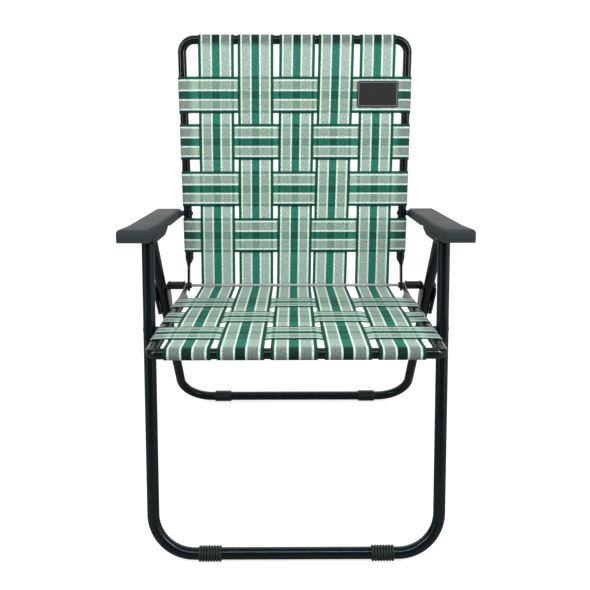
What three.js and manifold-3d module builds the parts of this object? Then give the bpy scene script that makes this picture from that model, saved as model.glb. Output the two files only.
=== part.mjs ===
// Folding lawn chair with woven webbing.
// Millimetres, X across (left and right alike), Y from the front to the back, Z up.
// Every side-view point is measured from the middle of the front foot tube.
import * as THREE from "three";
import { mergeVertices } from "three/addons/utils/BufferGeometryUtils.js";
import Module from "manifold-3d";

const wasm = await Module();
wasm.setup();

// Overall width and the gaps between pieces
const overallWidth = 610;
const runningGap = 0.35;
const laneGap = 0.6;

// Side view: run is backwards, rise is up
const armPivotRun = 155.3;
const armPivotRise = 554.1;
const axleRun = 418.4;
const axleRise = 373;
const seatFrontRun = -27.4;
const seatFrontRise = 419.7;
const backRailLength = 520.6;
const seatPivotOff = 0.7;
const backPivotOff = 1.1;
const rearPivotReach = 155.4;
const rearPivotDepth = 16.2;
const axleToRearLeg = 18.8;
const linkDrop = 61.2;

// Tubes
const tubeWall = 1.2;
const legTube = 22;
const seatTube = 18;
const backTube = 18;
const frontLegBend = 75;
const rearLegBend = 75;
const legLaneApart = 4.5;
const seatSideGap = 3.8;
const seatTaper = 3.2;
const seatBend = 16;
const backInset = 5.1;
const backSplay = 5;
const backBend = 26;
const legEndReach = 10.5;
const legDent = 1;
const legDentLength = 28;
const legTipShares = [1, 0.92, 0.7, 0.35];

// Pressed rail ends at the cross rod
const railRoundStart = 60;
const railFlatStart = 40;
const railFlatThick = 5;
const railFlatHalf = 10;
const railEyeHalf = 9.4;
const railEyeBelowRod = 3.1;
const railCrank = 2.6;
const railEyeShares = [-0.98, -0.8, -0.45];
const railSquareness = 2.8;
const railFlatIn = 3.5;
const railFlatApart = 0.9;

// Cross rod, spacers and washers
const rodRadius = 2.9;
const spacerRadius = 7;
const washerRadius = 10;
const washerThick = 1.5;
const rodNutRadius = 6;
const rodNutLength = 4;
const strapToRod = 4;

// Webbing
const webThick = 1.2;
const webCrossGap = 0.5;
const webWidthShare = 0.1572;
const webWrapShare = 0.675;
const webCornerGap = 1;
const backRowBelowStud = 10.5;
const backRowAboveStud = 15.2;
const backRowShares = [0.3206, 0.6345];
const seatRowBehindBolt = 11;
const seatRowAheadOfBolt = 21.4;
const seatRearRowShare = 0.5686;
const topLaneShares = [-0.946, -0.471, 0.03, 0.499, 0.998];
const axleLaneShares = [-0.911, -0.4611, -0.0155, 0.4075, 0.912];
const frontLaneShares = [-0.96, -0.4917, -0.0237, 0.4521, 0.9252];

// Patch on the back
const patchWidth = 87;
const patchHeight = 53;
const patchThick = 1.6;
const patchLaneShare = 0.741;
const patchReachShare = 0.7864;

// Armrests: lengths along the top, depths below it
const armFrontReach = 46;
const armRearReach = 8;
const armPivotDepth = 22.5;
const armStudDepth = 10;
const armSkirtDepth = 21;
const armRearSkirtDepth = 17;
const armSkirtRise = 30;
const armFlangeDepth = 27.2;
const armPlate = 3;
const armWall = 2.6;
const armRib = 2.4;
const armEdgeRound = 3;
const armEdgeShares = [[0, 1], [0.3, 0.3], [1, 0]];
const armNoseRound = 7;
const armFlangeTip = 24;
const armFlangeFront = 12;
const armFlangeRear = 93;
const armFlangeEnd = 118;
const armNotchReach = 133;
const armNotchEnd = 152;
const armNotchDepth = 13;
const armLugHalf = 14;
const armLugTopHalf = 28;

// Bolts and rivets
const boltRadius = 3;
const boltHeadRadius = 6.2;
const boltHeadThick = 2.6;
const boltHeadShares = [[0, 1], [0.5, 1], [1, 0.7]];
const boltEnd = 1.6;
const armBoltHeadRadius = 5;
const armBoltEnd = 0.8;
const studEnd = 0.4;
const pivotSpacerRadius = 5;
const studHeadRadius = 4.6;
const studShoulderRadius = 6;
const pinRadius = 3.2;

// Links
const linkPlate = 1.8;
const linkHalf = 12;
const linkTopHalf = 9.6;
const linkPinSunk = 0.4;
const linkGap = 0.5;
const linkWebStart = 20;

// Foot sleeves
const sleeveLength = 42;
const sleeveWall = 3.7;
const sleeveFlat = 0.8;
const sleeveRibDepth = 2;
const sleeveToBend = 7.4;
const ribCount = 8;

const ringSides = 16;
const sleeveSides = 12;
const boreSides = 8;
const bendSteps = 5;
const noseSteps = 4;
const wrapSteps = 8;
const cornerSteps = 5;
const holeSides = 12;

// Materials
const paintedTube = () =>
  new THREE.MeshStandardMaterial({ color: 0x1d2527, roughness: 0.35, metalness: 0.4 });
const blackPlastic = () =>
  new THREE.MeshStandardMaterial({ color: 0x4a4f52, roughness: 0.6, metalness: 0 });
const blackRubber = () =>
  new THREE.MeshStandardMaterial({ color: 0x15181a, roughness: 0.8, metalness: 0 });
const zincSteel = () =>
  new THREE.MeshStandardMaterial({ color: 0xb9bcbd, roughness: 0.35, metalness: 0.9 });
const blackSteel = () =>
  new THREE.MeshStandardMaterial({ color: 0x222627, roughness: 0.4, metalness: 0.6 });
const greenWeb = () =>
  new THREE.MeshStandardMaterial({ color: 0x7fb39c, roughness: 0.75, metalness: 0 });
const patchCloth = () =>
  new THREE.MeshStandardMaterial({ color: 0x2b2e31, roughness: 0.8, metalness: 0 });

const chair = new THREE.Group();
chair.name = "folding_lawn_chair";

// Side-view points as (y, z) pairs
const point = (run, rise) => new THREE.Vector2(run, rise);
const unit = (from, to) => to.clone().sub(from).normalize();
const moved = (from, direction, reach) => from.clone().addScaledVector(direction, reach);
const turned = (d) => point(-d.y, d.x);

const spun = (d, angle) =>
  point(
    d.x * Math.cos(angle) - d.y * Math.sin(angle),
    d.x * Math.sin(angle) + d.y * Math.cos(angle),
  );

// Widths from the outside in: skirt, rear leg, link, front leg, seat rail, back rail
const legRadius = legTube / 2;
const seatRadius = seatTube / 2;
const backRadius = backTube / 2;
const outerX = overallWidth / 2;
const rearLegHalf = outerX - armWall - laneGap - legRadius;
const linkInnerX = rearLegHalf - legRadius - linkGap - linkPlate;
const linkOuterX = rearLegHalf + legRadius + linkGap;
const frontLegHalf = linkInnerX - legLaneApart - legRadius;
const seatRearHalf = frontLegHalf - legRadius - seatSideGap - seatRadius;
const seatFrontHalf = seatRearHalf - seatTaper;
const backLowHalf = seatRearHalf - backInset;
const backTopHalf = backLowHalf + backSplay;
const webWidth = 2 * seatRearHalf * webWidthShare;
const seatFlatX = seatRearHalf - railFlatIn / 2;
const backFlatX = seatFlatX - railFlatThick - railFlatApart;

// A strap plane passes a set distance from the axle, and its rails' middles lie below it
const webLift = webThick / 2 + runningGap;
function strapPlane(target, targetOff, tube, sign) {
  const railDepth = tube / 2 + webLift;
  const reach = axle.distanceTo(target);
  const lean = Math.asin((strapToRod + railDepth - targetOff) / reach);
  const along = spun(unit(axle, target), sign * lean);
  const off = point(-sign * along.y, sign * along.x);
  const origin = moved(axle, off, -strapToRod);
  const targetReach = reach * Math.cos(lean);
  return { along, off, railDepth, origin, targetReach, spot: spotIn(origin, along, off) };
}

// Local frames: x across, v along the rails, h off their plane
function spotIn(origin, along, off) {
  return (x, v, h) => {
    const p = moved(moved(origin, along, v), off, h);
    return new THREE.Vector3(x, p.x, p.y);
  };
}

// Side-view points: the seat turns on the front leg where its rail crosses it
const footPoint = point(0, 0);
const armPivot = point(armPivotRun, armPivotRise);
const axle = point(axleRun, axleRise);
const frontLegUp = unit(footPoint, armPivot);
const seatPlane = strapPlane(point(seatFrontRun, seatFrontRise), 0, seatTube, -1);
seatPlane.barReach = seatPlane.targetReach;
const railToPivot = seatPivotOff - seatPlane.railDepth;
const seatRailStart = moved(seatPlane.origin, seatPlane.off, railToPivot);
const seatPivotReach = seatRailStart.dot(seatPlane.off) / frontLegUp.dot(seatPlane.off);
const seatPivot = moved(footPoint, frontLegUp, seatPivotReach);

// The armrest, back and seat form a parallelogram with the front leg
const backPivot = armPivot.clone().add(axle).sub(seatPivot);
const backPlane = strapPlane(backPivot, backPivotOff, backTube, 1);
backPlane.barReach = backRailLength;

// Armrest frame: a along the top from the front leg's pivot, b up from it
const armSpan = armPivot.distanceTo(backPivot);
const armLean = Math.asin((armPivotDepth - armStudDepth) / armSpan);
const armAlong = spun(unit(armPivot, backPivot), -armLean);
const armUp = turned(armAlong);
const armSpot = (a, b) => moved(moved(armPivot, armAlong, a), armUp, b);

// The rear leg hangs from the armrest and passes in front of the axle
const rearPivot = armSpot(rearPivotReach, armPivotDepth - rearPivotDepth);
const axleLean = Math.asin(axleToRearLeg / rearPivot.distanceTo(axle));
const rearLegDown = spun(unit(rearPivot, axle), -axleLean);
const rearLegLength = rearPivot.y / -rearLegDown.y;
const rearFoot = moved(rearPivot, rearLegDown, rearLegLength);
const axleAlongLeg = axle.clone().sub(rearPivot).dot(rearLegDown);
const linkRivet = moved(rearPivot, rearLegDown, axleAlongLeg + linkDrop);

// A closed solid from rings of points that follow each other, with flat caps
function loft(rings) {
  const sides = rings[0].length;
  const positions = [];
  for (const ring of rings) {
    for (const p of ring) positions.push(p.x, p.y, p.z);
  }
  const faces = [];
  for (let i = 0; i + 1 < rings.length; i += 1) {
    for (let j = 0; j < sides; j += 1) {
      const k = (j + 1) % sides;
      const low = i * sides;
      const high = low + sides;
      faces.push(low + j, low + k, high + k);
      faces.push(low + j, high + k, high + j);
    }
  }
  const last = (rings.length - 1) * sides;
  for (let j = 1; j + 1 < sides; j += 1) {
    faces.push(0, j + 1, j);
    faces.push(last, last + j, last + j + 1);
  }
  return outward(positions, faces);
}

// Faces turned outwards, whichever way the rings ran
function outward(positions, faces) {
  let volume = 0;
  const corner = (i) => new THREE.Vector3().fromArray(positions, 3 * i);
  for (let i = 0; i < faces.length; i += 3) {
    const [a, b, c] = [corner(faces[i]), corner(faces[i + 1]), corner(faces[i + 2])];
    volume += a.dot(b.cross(c));
  }
  if (volume < 0) {
    for (let i = 0; i < faces.length; i += 3) {
      [faces[i + 1], faces[i + 2]] = [faces[i + 2], faces[i + 1]];
    }
  }
  const geometry = new THREE.BufferGeometry();
  geometry.setAttribute("position", new THREE.Float32BufferAttribute(positions, 3));
  geometry.setIndex(faces);
  return geometry;
}

// Geometry to and from solids that can be joined and cut
function toSolid(geometry) {
  const bare = geometry.clone();
  bare.deleteAttribute("normal");
  bare.deleteAttribute("uv");
  const merged = mergeVertices(bare);
  const triVerts = new Uint32Array(merged.index.array);
  const vertProperties = new Float32Array(merged.attributes.position.array);
  return new wasm.Manifold(new wasm.Mesh({ numProp: 3, vertProperties, triVerts }));
}

function toGeometry(solid) {
  const mesh = solid.getMesh();
  const positions = Array.from(mesh.vertProperties);
  const geometry = new THREE.BufferGeometry();
  geometry.setAttribute("position", new THREE.Float32BufferAttribute(positions, 3));
  geometry.setIndex(Array.from(mesh.triVerts));
  return geometry;
}

const cut = (geometry, tools) => {
  let solid = toSolid(geometry);
  for (const tool of tools) solid = solid.subtract(toSolid(tool));
  return toGeometry(solid);
};

const join = (pieces) => {
  let solid = toSolid(pieces[0]);
  for (const piece of pieces.slice(1)) solid = solid.add(toSolid(piece));
  return toGeometry(solid);
};

function addMesh(name, geometry, material) {
  const flat = geometry.index ? geometry.toNonIndexed() : geometry;
  flat.deleteAttribute("normal");
  flat.deleteAttribute("uv");
  flat.computeVertexNormals();
  const mesh = new THREE.Mesh(flat, material);
  mesh.name = name;
  chair.add(mesh);
}

// A turned piece along X: pairs of (x, radius) about a side-view point
function turnedPiece(center, profile, sides) {
  const rings = profile.map(([x, radius]) => {
    const ring = [];
    for (let j = 0; j < sides; j += 1) {
      const angle = (2 * Math.PI * j) / sides;
      const y = center.x + radius * Math.cos(angle);
      const z = center.y + radius * Math.sin(angle);
      ring.push(new THREE.Vector3(x, y, z));
    }
    return ring;
  });
  return loft(rings);
}

const barAlongX = (center, x0, x1, radius) =>
  turnedPiece(center, [[x0, radius], [x1, radius]], holeSides);

// A ring along X with a hole through it
function collar(center, x0, x1, radius, hole) {
  const body = turnedPiece(center, [[x0, radius], [x1, radius]], ringSides);
  const [low, high] = [Math.min(x0, x1), Math.max(x0, x1)];
  return cut(body, [barAlongX(center, low - hole, high + hole, hole)]);
}

// A plate cut to an outline of side-view points, between two X values
function plate(outline, x0, x1) {
  const shape = new THREE.Shape(outline.map((p) => point(p.x, p.y)));
  const settings = { depth: Math.abs(x1 - x0), bevelEnabled: false };
  const geometry = new THREE.ExtrudeGeometry(shape, settings);
  const axes = new THREE.Matrix4().set(0, 0, 1, Math.min(x0, x1), 1, 0, 0, 0, 0, 1, 0, 0, 0, 0, 0, 1);
  geometry.applyMatrix4(axes);
  return geometry;
}

// One section of a tube: half-sizes a in the frame's plane and b off it, superellipse when pressed
function sectionRing(spot, s, grow, sides) {
  const ring = [];
  const power = 2 / s.squareness;
  const shaped = (t) => Math.sign(t) * Math.abs(t) ** power;
  for (let j = 0; j < sides; j += 1) {
    const angle = (2 * Math.PI * (j + 0.5)) / sides;
    const side = (s.a - grow) * shaped(Math.cos(angle));
    const h = s.h + (s.b - grow) * shaped(Math.sin(angle));
    ring.push(spot(s.x - side * s.dv, s.v + side * s.dx, h));
  }
  return ring;
}

// Stations of a U: down one rail, round two bends, up the other rail
function uStations({ lowV, endHalf, barV, barHalf, bend, radius, railEnd }) {
  const corner = point(barHalf, barV);
  const foot = point(endHalf, lowV);
  const rail = unit(foot, corner);
  const inward = point(-1, 0);
  const turn = Math.acos(rail.dot(inward));
  const setback = bend * Math.tan(turn / 2);
  const start = moved(corner, rail, -setback);
  const right = railEnd(foot, rail, start);
  for (let i = 0; i <= bendSteps; i += 1) {
    const angle = (turn * i) / bendSteps;
    const tangent = point(
      rail.x * Math.cos(angle) + inwardPart(rail, inward).x * Math.sin(angle),
      rail.y * Math.cos(angle) + inwardPart(rail, inward).y * Math.sin(angle),
    );
    const toCenter = inwardPart(rail, inward);
    const center = moved(start, toCenter, bend);
    const back = point(
      -toCenter.x * Math.cos(angle) + rail.x * Math.sin(angle),
      -toCenter.y * Math.cos(angle) + rail.y * Math.sin(angle),
    );
    const at = moved(center, back, bend);
    right.push({ x: at.x, v: at.y, dx: tangent.x, dv: tangent.y, a: radius, b: radius });
  }
  const left = right.map((s) => ({ ...s, x: -s.x, dv: -s.dv })).reverse();
  return [...right, ...left].map((s) => ({ h: 0, squareness: 2, ...s }));
}

// The part of the inward direction that is square to the rail
function inwardPart(rail, inward) {
  return moved(inward, rail, -rail.dot(inward)).normalize();
}

// A hollow tube through stations, open at both ends
function hollowTube(spot, stations, wall) {
  const outer = loft(stations.map((s) => sectionRing(spot, s, 0, ringSides)));
  const inner = stations.map((s) => ({ ...s }));
  const [first, last] = [inner[0], inner[inner.length - 1]];
  first.x -= first.dx * wall;
  first.v -= first.dv * wall;
  last.x += last.dx * wall;
  last.v += last.dv * wall;
  return cut(outer, [loft(inner.map((s) => sectionRing(spot, s, wall, boreSides)))]);
}

// Front leg
const frontLegLength = footPoint.distanceTo(armPivot);
const frontLegSpot = spotIn(footPoint, frontLegUp, turned(frontLegUp));
const frontLegTop = frontLegLength + legEndReach;
function straightEnd(foot, rail, dents) {
  const list = [{ reach: 0, dent: 0 }, ...dents];
  return list.map(({ reach, dent }) => {
    const at = moved(foot, rail, reach);
    return {
      x: at.x,
      v: at.y,
      dx: rail.x,
      dv: rail.y,
      a: legRadius - dent,
      b: legRadius + dent / 2,
      squareness: 2 + dent / legDent,
    };
  });
}

const dentReach = frontLegTop - seatPivotReach;
const frontLegStations = uStations({
  lowV: frontLegTop,
  endHalf: frontLegHalf,
  barV: 0,
  barHalf: frontLegHalf,
  bend: frontLegBend,
  radius: legRadius,
  railEnd: (foot, rail) =>
    straightEnd(foot, rail, [
      { reach: dentReach - legDentLength, dent: 0 },
      { reach: dentReach - legDentLength / 2, dent: legDent },
      { reach: dentReach + legDentLength / 2, dent: legDent },
      { reach: dentReach + legDentLength, dent: 0 },
    ]),
});
const boltHole = boltRadius + runningGap;
const crossBores = (center, radius) => [
  barAlongX(center, 0, overallWidth, radius),
  barAlongX(center, -overallWidth, 0, radius),
];
addMesh(
  "front_leg_frame",
  cut(hollowTube(frontLegSpot, frontLegStations, tubeWall), [
    ...crossBores(armPivot, boltHole),
    ...crossBores(seatPivot, boltHole),
  ]),
  paintedTube(),
);

// Rear leg, in its own lane under the outer skirt
const rearLegUp = unit(rearFoot, rearPivot);
const rearLegSpot = spotIn(rearFoot, rearLegUp, turned(rearLegUp));
const rearLegStations = uStations({
  lowV: rearLegLength,
  endHalf: rearLegHalf,
  barV: 0,
  barHalf: rearLegHalf,
  bend: rearLegBend,
  radius: legRadius,
  railEnd: (foot, rail) => {
    const tip = legTipShares.map((share) => {
      const at = moved(foot, rail, -legRadius * Math.sqrt(1 - share * share));
      return { x: at.x, v: at.y, dx: rail.x, dv: rail.y, a: legRadius, b: legRadius * share };
    });
    return tip.reverse();
  },
});
const rearLegBody = loft(rearLegStations.map((s) => sectionRing(rearLegSpot, s, 0, ringSides)));
const rearLegBore = rearLegStations.filter((s) => s.b === legRadius);
addMesh(
  "rear_leg_frame",
  cut(rearLegBody, [
    loft(rearLegBore.map((s) => sectionRing(rearLegSpot, s, tubeWall, boreSides))),
    ...crossBores(rearPivot, boltHole),
    ...crossBores(linkRivet, boltHole),
  ]),
  paintedTube(),
);

// Rails with pressed, cranked ends that carry an eye for the cross rod
function pressedEnd(radius, depth, flatX) {
  return (foot, rail) => {
    const eyeH = strapToRod - railEyeBelowRod;
    const stations = [];
    for (const share of railEyeShares) {
      const half = railEyeHalf * Math.sqrt(1 - share * share);
      stations.push({ v: share * railEyeHalf, half, thick: railFlatThick / 2, h: eyeH, x: flatX });
    }
    stations.push({ v: 0, half: railEyeHalf, thick: railFlatThick / 2, h: eyeH, x: flatX });
    const flatH = -depth + railCrank;
    const roundX = foot.x + (rail.x / rail.y) * railRoundStart;
    const middle = (railFlatStart + railRoundStart) / 2;
    stations.push({ v: railFlatStart, half: railFlatHalf, thick: railFlatThick / 2, h: flatH, x: flatX });
    const midX = (flatX + roundX) / 2;
    const midThick = (railFlatThick / 2 + radius) / 2;
    stations.push({ v: middle, half: (railFlatHalf + radius) / 2, thick: midThick, h: -depth, x: midX });
    stations.push({ v: railRoundStart, half: radius, thick: radius, h: -depth, x: roundX });
    return stations.map((s) => ({
      x: s.x,
      v: s.v,
      dx: 0,
      dv: 1,
      a: s.thick,
      b: s.half,
      h: s.h,
      squareness: s.thick === radius ? 2 : railSquareness,
    }));
  };
}

const frameAt = (plane, lowHalf, barHalf, bend, radius, flatX) =>
  uStations({
    lowV: 0,
    endHalf: lowHalf,
    barV: plane.barReach,
    barHalf,
    bend,
    radius,
    railEnd: pressedEnd(radius, plane.railDepth, flatX),
  }).map((s) => (s.b === radius && s.a === radius ? { ...s, h: -plane.railDepth } : s));

const seatStations = frameAt(seatPlane, seatRearHalf, seatFrontHalf, seatBend, seatRadius, seatFlatX);
const backStations = frameAt(backPlane, backLowHalf, backTopHalf, backBend, backRadius, backFlatX);
const rodHole = rodRadius + runningGap;
const boredFrame = (plane, stations, radius, pivot) => {
  const body = loft(stations.map((s) => sectionRing(plane.spot, s, 0, ringSides)));
  const round = stations.filter((s) => s.b === radius && s.a === radius);
  const bore = loft(round.map((s) => sectionRing(plane.spot, s, tubeWall, boreSides)));
  return cut(body, [bore, ...crossBores(pivot, boltHole), ...crossBores(axle, rodHole)]);
};
addMesh("seat_frame", boredFrame(seatPlane, seatStations, seatRadius, seatPivot), paintedTube());
addMesh("back_frame", boredFrame(backPlane, backStations, backRadius, backPivot), paintedTube());

// Where a rail's middle runs in X at a reach along it
const railX = (lowHalf, barHalf, plane, v) => lowHalf + ((barHalf - lowHalf) * v) / plane.barReach;

// Cross rod with its nuts, washers and spacers
const rodEndX = linkInnerX - runningGap;
addMesh("cross_rod", turnedPiece(axle, [[-rodEndX, rodRadius], [rodEndX, rodRadius]], ringSides), zincSteel());
const nutOuterX = backFlatX - railFlatThick / 2 - runningGap;
const flatOuterX = seatFlatX + railFlatThick / 2 + runningGap;
for (const [side, s] of [["left", -1], ["right", 1]]) {
  const nut = collar(axle, s * (nutOuterX - rodNutLength), s * nutOuterX, rodNutRadius, rodHole);
  addMesh(`rod_nut_${side}`, nut, blackSteel());
  const innerWasher = collar(axle, s * flatOuterX, s * (flatOuterX + washerThick), washerRadius, rodHole);
  addMesh(`rail_washer_${side}`, innerWasher, blackSteel());
  const spacerStart = flatOuterX + washerThick + runningGap;
  const spacerEnd = rodEndX - washerThick - runningGap;
  const spacer = collar(axle, s * spacerStart, s * spacerEnd, spacerRadius, rodHole);
  addMesh(`rod_spacer_${side}`, spacer, blackPlastic());
  const outerWasher = collar(axle, s * (spacerEnd + runningGap), s * rodEndX, washerRadius, rodHole);
  addMesh(`link_washer_${side}`, outerWasher, blackSteel());
}

// Places in the armrest's frame
const armA = (p) => p.clone().sub(armPivot).dot(armAlong);
const armRearA = armA(backPivot) + armRearReach;
const armBottomB = armPivotDepth - armSkirtDepth;
const armRearBottomB = armPivotDepth - armRearSkirtDepth;
const armInnerX = frontLegHalf - legRadius - laneGap - armWall;
const legOuterX = frontLegHalf + legRadius + laneGap;

// Side outline of an armrest, drawn in from its edges by an inset
function armOutline(inset) {
  const top = armPivotDepth - inset;
  const front = -armFrontReach + inset;
  const rear = armRearA - inset;
  const nose = armNoseRound;
  const outline = [
    armSpot(front, armBottomB),
    armSpot(armFlangeEnd - armSkirtRise, armBottomB),
    armSpot(armFlangeEnd, armRearBottomB),
    armSpot(rear, armRearBottomB),
  ];
  for (let i = 0; i <= noseSteps; i += 1) {
    const angle = (Math.PI * i) / (2 * noseSteps);
    const a = rear - nose * (1 - Math.cos(angle));
    outline.push(armSpot(a, top - nose * (1 - Math.sin(angle))));
  }
  for (let i = 0; i <= noseSteps; i += 1) {
    const angle = (Math.PI * i) / (2 * noseSteps);
    const a = front + nose * (1 - Math.sin(angle));
    outline.push(armSpot(a, top - nose * (1 - Math.cos(angle))));
  }
  return outline;
}

function armRing(x, inset) {
  return armOutline(inset).map((p) => new THREE.Vector3(x, p.x, p.y));
}

function armrest(s) {
  const round = armEdgeRound;
  const rings = [];
  for (const [step, inset] of armEdgeShares) {
    rings.push(armRing(s * (armInnerX + step * round), inset * round));
  }
  for (const [step, inset] of [...armEdgeShares].reverse()) {
    rings.push(armRing(s * (outerX - step * round), inset * round));
  }
  const shell = loft(rings);
  const hollowLow = armBottomB - armPlate;
  const hollowTop = armPivotDepth - armPlate;
  const hollowFront = -armFrontReach + armWall;
  const hollowRear = armRearA - armWall;
  const lane = (x0, x1) =>
    plate(
      [
        armSpot(hollowFront, hollowLow),
        armSpot(hollowRear, hollowLow),
        armSpot(hollowRear, hollowTop - armNoseRound / 2),
        armSpot(hollowRear - armNoseRound, hollowTop),
        armSpot(hollowFront + armNoseRound, hollowTop),
        armSpot(hollowFront, hollowTop - armNoseRound / 2),
      ],
      s * x0,
      s * x1,
    );
  const tray = cut(shell, [
    lane(armInnerX + armWall, legOuterX),
    lane(legOuterX + armRib, outerX - armWall),
  ]);
  const flangeLow = armPivotDepth - armFlangeDepth;
  const flange = plate(
    [
      armSpot(-armFlangeTip, armBottomB + armPlate),
      armSpot(-armFlangeTip, armBottomB),
      armSpot(-armFlangeFront, flangeLow),
      armSpot(armFlangeRear, flangeLow),
      armSpot(armFlangeEnd, armBottomB),
      armSpot(armNotchReach, armRearBottomB + armPlate),
      armSpot(armFlangeEnd - armSkirtRise, armRearBottomB + armPlate),
    ],
    s * armInnerX,
    s * (armInnerX + armWall),
  );
  const lugA = armA(rearPivot);
  const lug = (x0, x1) =>
    plate(
      [
        armSpot(lugA - armLugTopHalf, armRearBottomB + armPlate),
        armSpot(lugA - armLugTopHalf, armRearBottomB),
        armSpot(lugA - armLugHalf, flangeLow),
        armSpot(lugA + armLugHalf, flangeLow),
        armSpot(lugA + armLugTopHalf, armRearBottomB),
        armSpot(lugA + armLugTopHalf, armRearBottomB + armPlate),
      ],
      s * x0,
      s * x1,
    );
  const whole = join([
    tray,
    flange,
    lug(legOuterX, legOuterX + armRib),
    lug(outerX - armWall, outerX),
  ]);
  const notch = plate(
    [
      armSpot(armFlangeEnd, armBottomB),
      armSpot(armNotchReach, armPivotDepth - armNotchDepth),
      armSpot(armNotchEnd, armRearBottomB),
      armSpot(armNotchEnd, armBottomB),
    ],
    s * (armInnerX - armWall),
    s * (armInnerX + 2 * armWall),
  );
  return cut(whole, [
    notch,
    barAlongX(armPivot, s * (armInnerX - armWall), s * (legOuterX + armWall + armRib), boltHole),
    barAlongX(rearPivot, s * (legOuterX - armWall), s * (outerX + armWall), boltHole),
    barAlongX(backPivot, s * (armInnerX - armWall), s * (armInnerX + 2 * armWall), boltHole),
  ]);
}

// A headed bolt along X, from its bare end to the head; heading is 1 where the head is at the greater X
function headed(center, endX, headX, headRadius, shank) {
  const heading = Math.sign(headX - endX);
  const head = boltHeadShares.map(([along, share]) => [
    headX + heading * along * boltHeadThick,
    share * headRadius,
  ]);
  return turnedPiece(center, [[endX, shank], [headX, shank], ...head], holeSides);
}

const seatPivotV = seatPivot.clone().sub(axle).dot(seatPlane.along);
const seatRailAtPivot = railX(seatRearHalf, seatFrontHalf, seatPlane, seatPivotV);
const backPivotV = backPivot.clone().sub(axle).dot(backPlane.along);
const backRailAtPivot = railX(backLowHalf, backTopHalf, backPlane, backPivotV);

for (const [side, s] of [["left", -1], ["right", 1]]) {
  addMesh(`armrest_${side}`, armrest(s), blackPlastic());
  const armBoltEndX = legOuterX + armRib + armBoltEnd;
  const armBolt = headed(
    armPivot,
    s * armBoltEndX,
    s * (armInnerX - runningGap),
    armBoltHeadRadius,
    boltRadius,
  );
  addMesh(`arm_pivot_bolt_${side}`, armBolt, blackSteel());
  const rearBolt = barAlongX(rearPivot, s * (legOuterX - armBoltEnd), s * (outerX - runningGap), boltRadius);
  addMesh(`rear_leg_pivot_bolt_${side}`, rearBolt, blackSteel());
  const studStart = backRailAtPivot - backRadius - runningGap;
  const stud = headed(
    backPivot,
    s * (armInnerX + armWall + studEnd),
    s * studStart,
    studHeadRadius,
    boltRadius,
  );
  const shoulder = turnedPiece(
    backPivot,
    [
      [s * (backRailAtPivot + backRadius + runningGap), studShoulderRadius],
      [s * (armInnerX - runningGap), studShoulderRadius],
    ],
    holeSides,
  );
  addMesh(`back_pivot_stud_${side}`, join([stud, shoulder]), blackSteel());
  const seatBolt = headed(
    seatPivot,
    s * (seatRailAtPivot - seatRadius - boltEnd),
    s * (frontLegHalf + legRadius + runningGap - legDent / 2),
    boltHeadRadius,
    boltRadius,
  );
  addMesh(`seat_pivot_bolt_${side}`, seatBolt, blackSteel());
  const spacerStart = seatRailAtPivot + seatRadius + runningGap;
  const spacerEnd = frontLegHalf - legRadius - runningGap;
  addMesh(
    `seat_pivot_spacer_${side}`,
    collar(seatPivot, s * spacerStart, s * spacerEnd, pivotSpacerRadius, boltHole),
    blackPlastic(),
  );
}

// Links: two plates beside the rear leg and a web behind it, from the rivet up to the axle's line
const linkAlong = rearLegUp;
const linkOff = point(linkAlong.y, -linkAlong.x);
const axleFromRivet = axle.clone().sub(linkRivet);
const linkLength = axleFromRivet.dot(linkAlong);
const linkRise = axleFromRivet.dot(linkOff);
const linkSpot = (v, h) => moved(moved(linkRivet, linkAlong, v), linkOff, h);

function arcPoints(center, radius, from, to, steps) {
  const list = [];
  for (let i = 0; i <= steps; i += 1) {
    const angle = from + ((to - from) * i) / steps;
    list.push([center[0] + radius * Math.cos(angle), center[1] + radius * Math.sin(angle)]);
  }
  return list;
}

function linkBody(s) {
  const lean = Math.atan2(linkRise, linkLength);
  const half = Math.PI / 2;
  const outline = [
    ...arcPoints([0, 0], linkHalf, half, 3 * half, bendSteps),
    ...arcPoints([linkLength, linkRise], linkTopHalf, -half + lean, half + lean, bendSteps),
  ].map(([v, h]) => linkSpot(v, h));
  const web = [
    linkSpot(linkWebStart, legRadius + linkGap),
    linkSpot(linkLength - linkHalf, legRadius + linkGap),
    linkSpot(linkLength - linkHalf, legRadius + linkGap + linkPlate),
    linkSpot(linkWebStart, legRadius + linkGap + linkPlate),
  ];
  const whole = join([
    plate(outline, s * linkInnerX, s * (linkInnerX + linkPlate)),
    plate(outline, s * linkOuterX, s * (linkOuterX + linkPlate)),
    plate(web, s * (linkInnerX + linkPlate / 2), s * (linkOuterX + linkPlate / 2)),
  ]);
  const hole = (center, radius) =>
    barAlongX(center, s * (linkInnerX - linkPlate), s * (linkOuterX + 2 * linkPlate), radius);
  return cut(whole, [hole(linkRivet, boltHole), hole(axle, pinRadius + runningGap)]);
}

for (const [side, s] of [["left", -1], ["right", 1]]) {
  addMesh(`link_${side}`, linkBody(s), paintedTube());
  const [pinStart, pinEnd] = [linkInnerX + linkPinSunk, linkOuterX + linkPlate - linkPinSunk];
  const rivet = barAlongX(linkRivet, s * pinStart, s * pinEnd, boltRadius);
  addMesh(`link_rivet_${side}`, rivet, zincSteel());
  const pin = barAlongX(axle, s * pinStart, s * pinEnd, pinRadius);
  addMesh(`link_pin_${side}`, pin, zincSteel());
}

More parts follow.
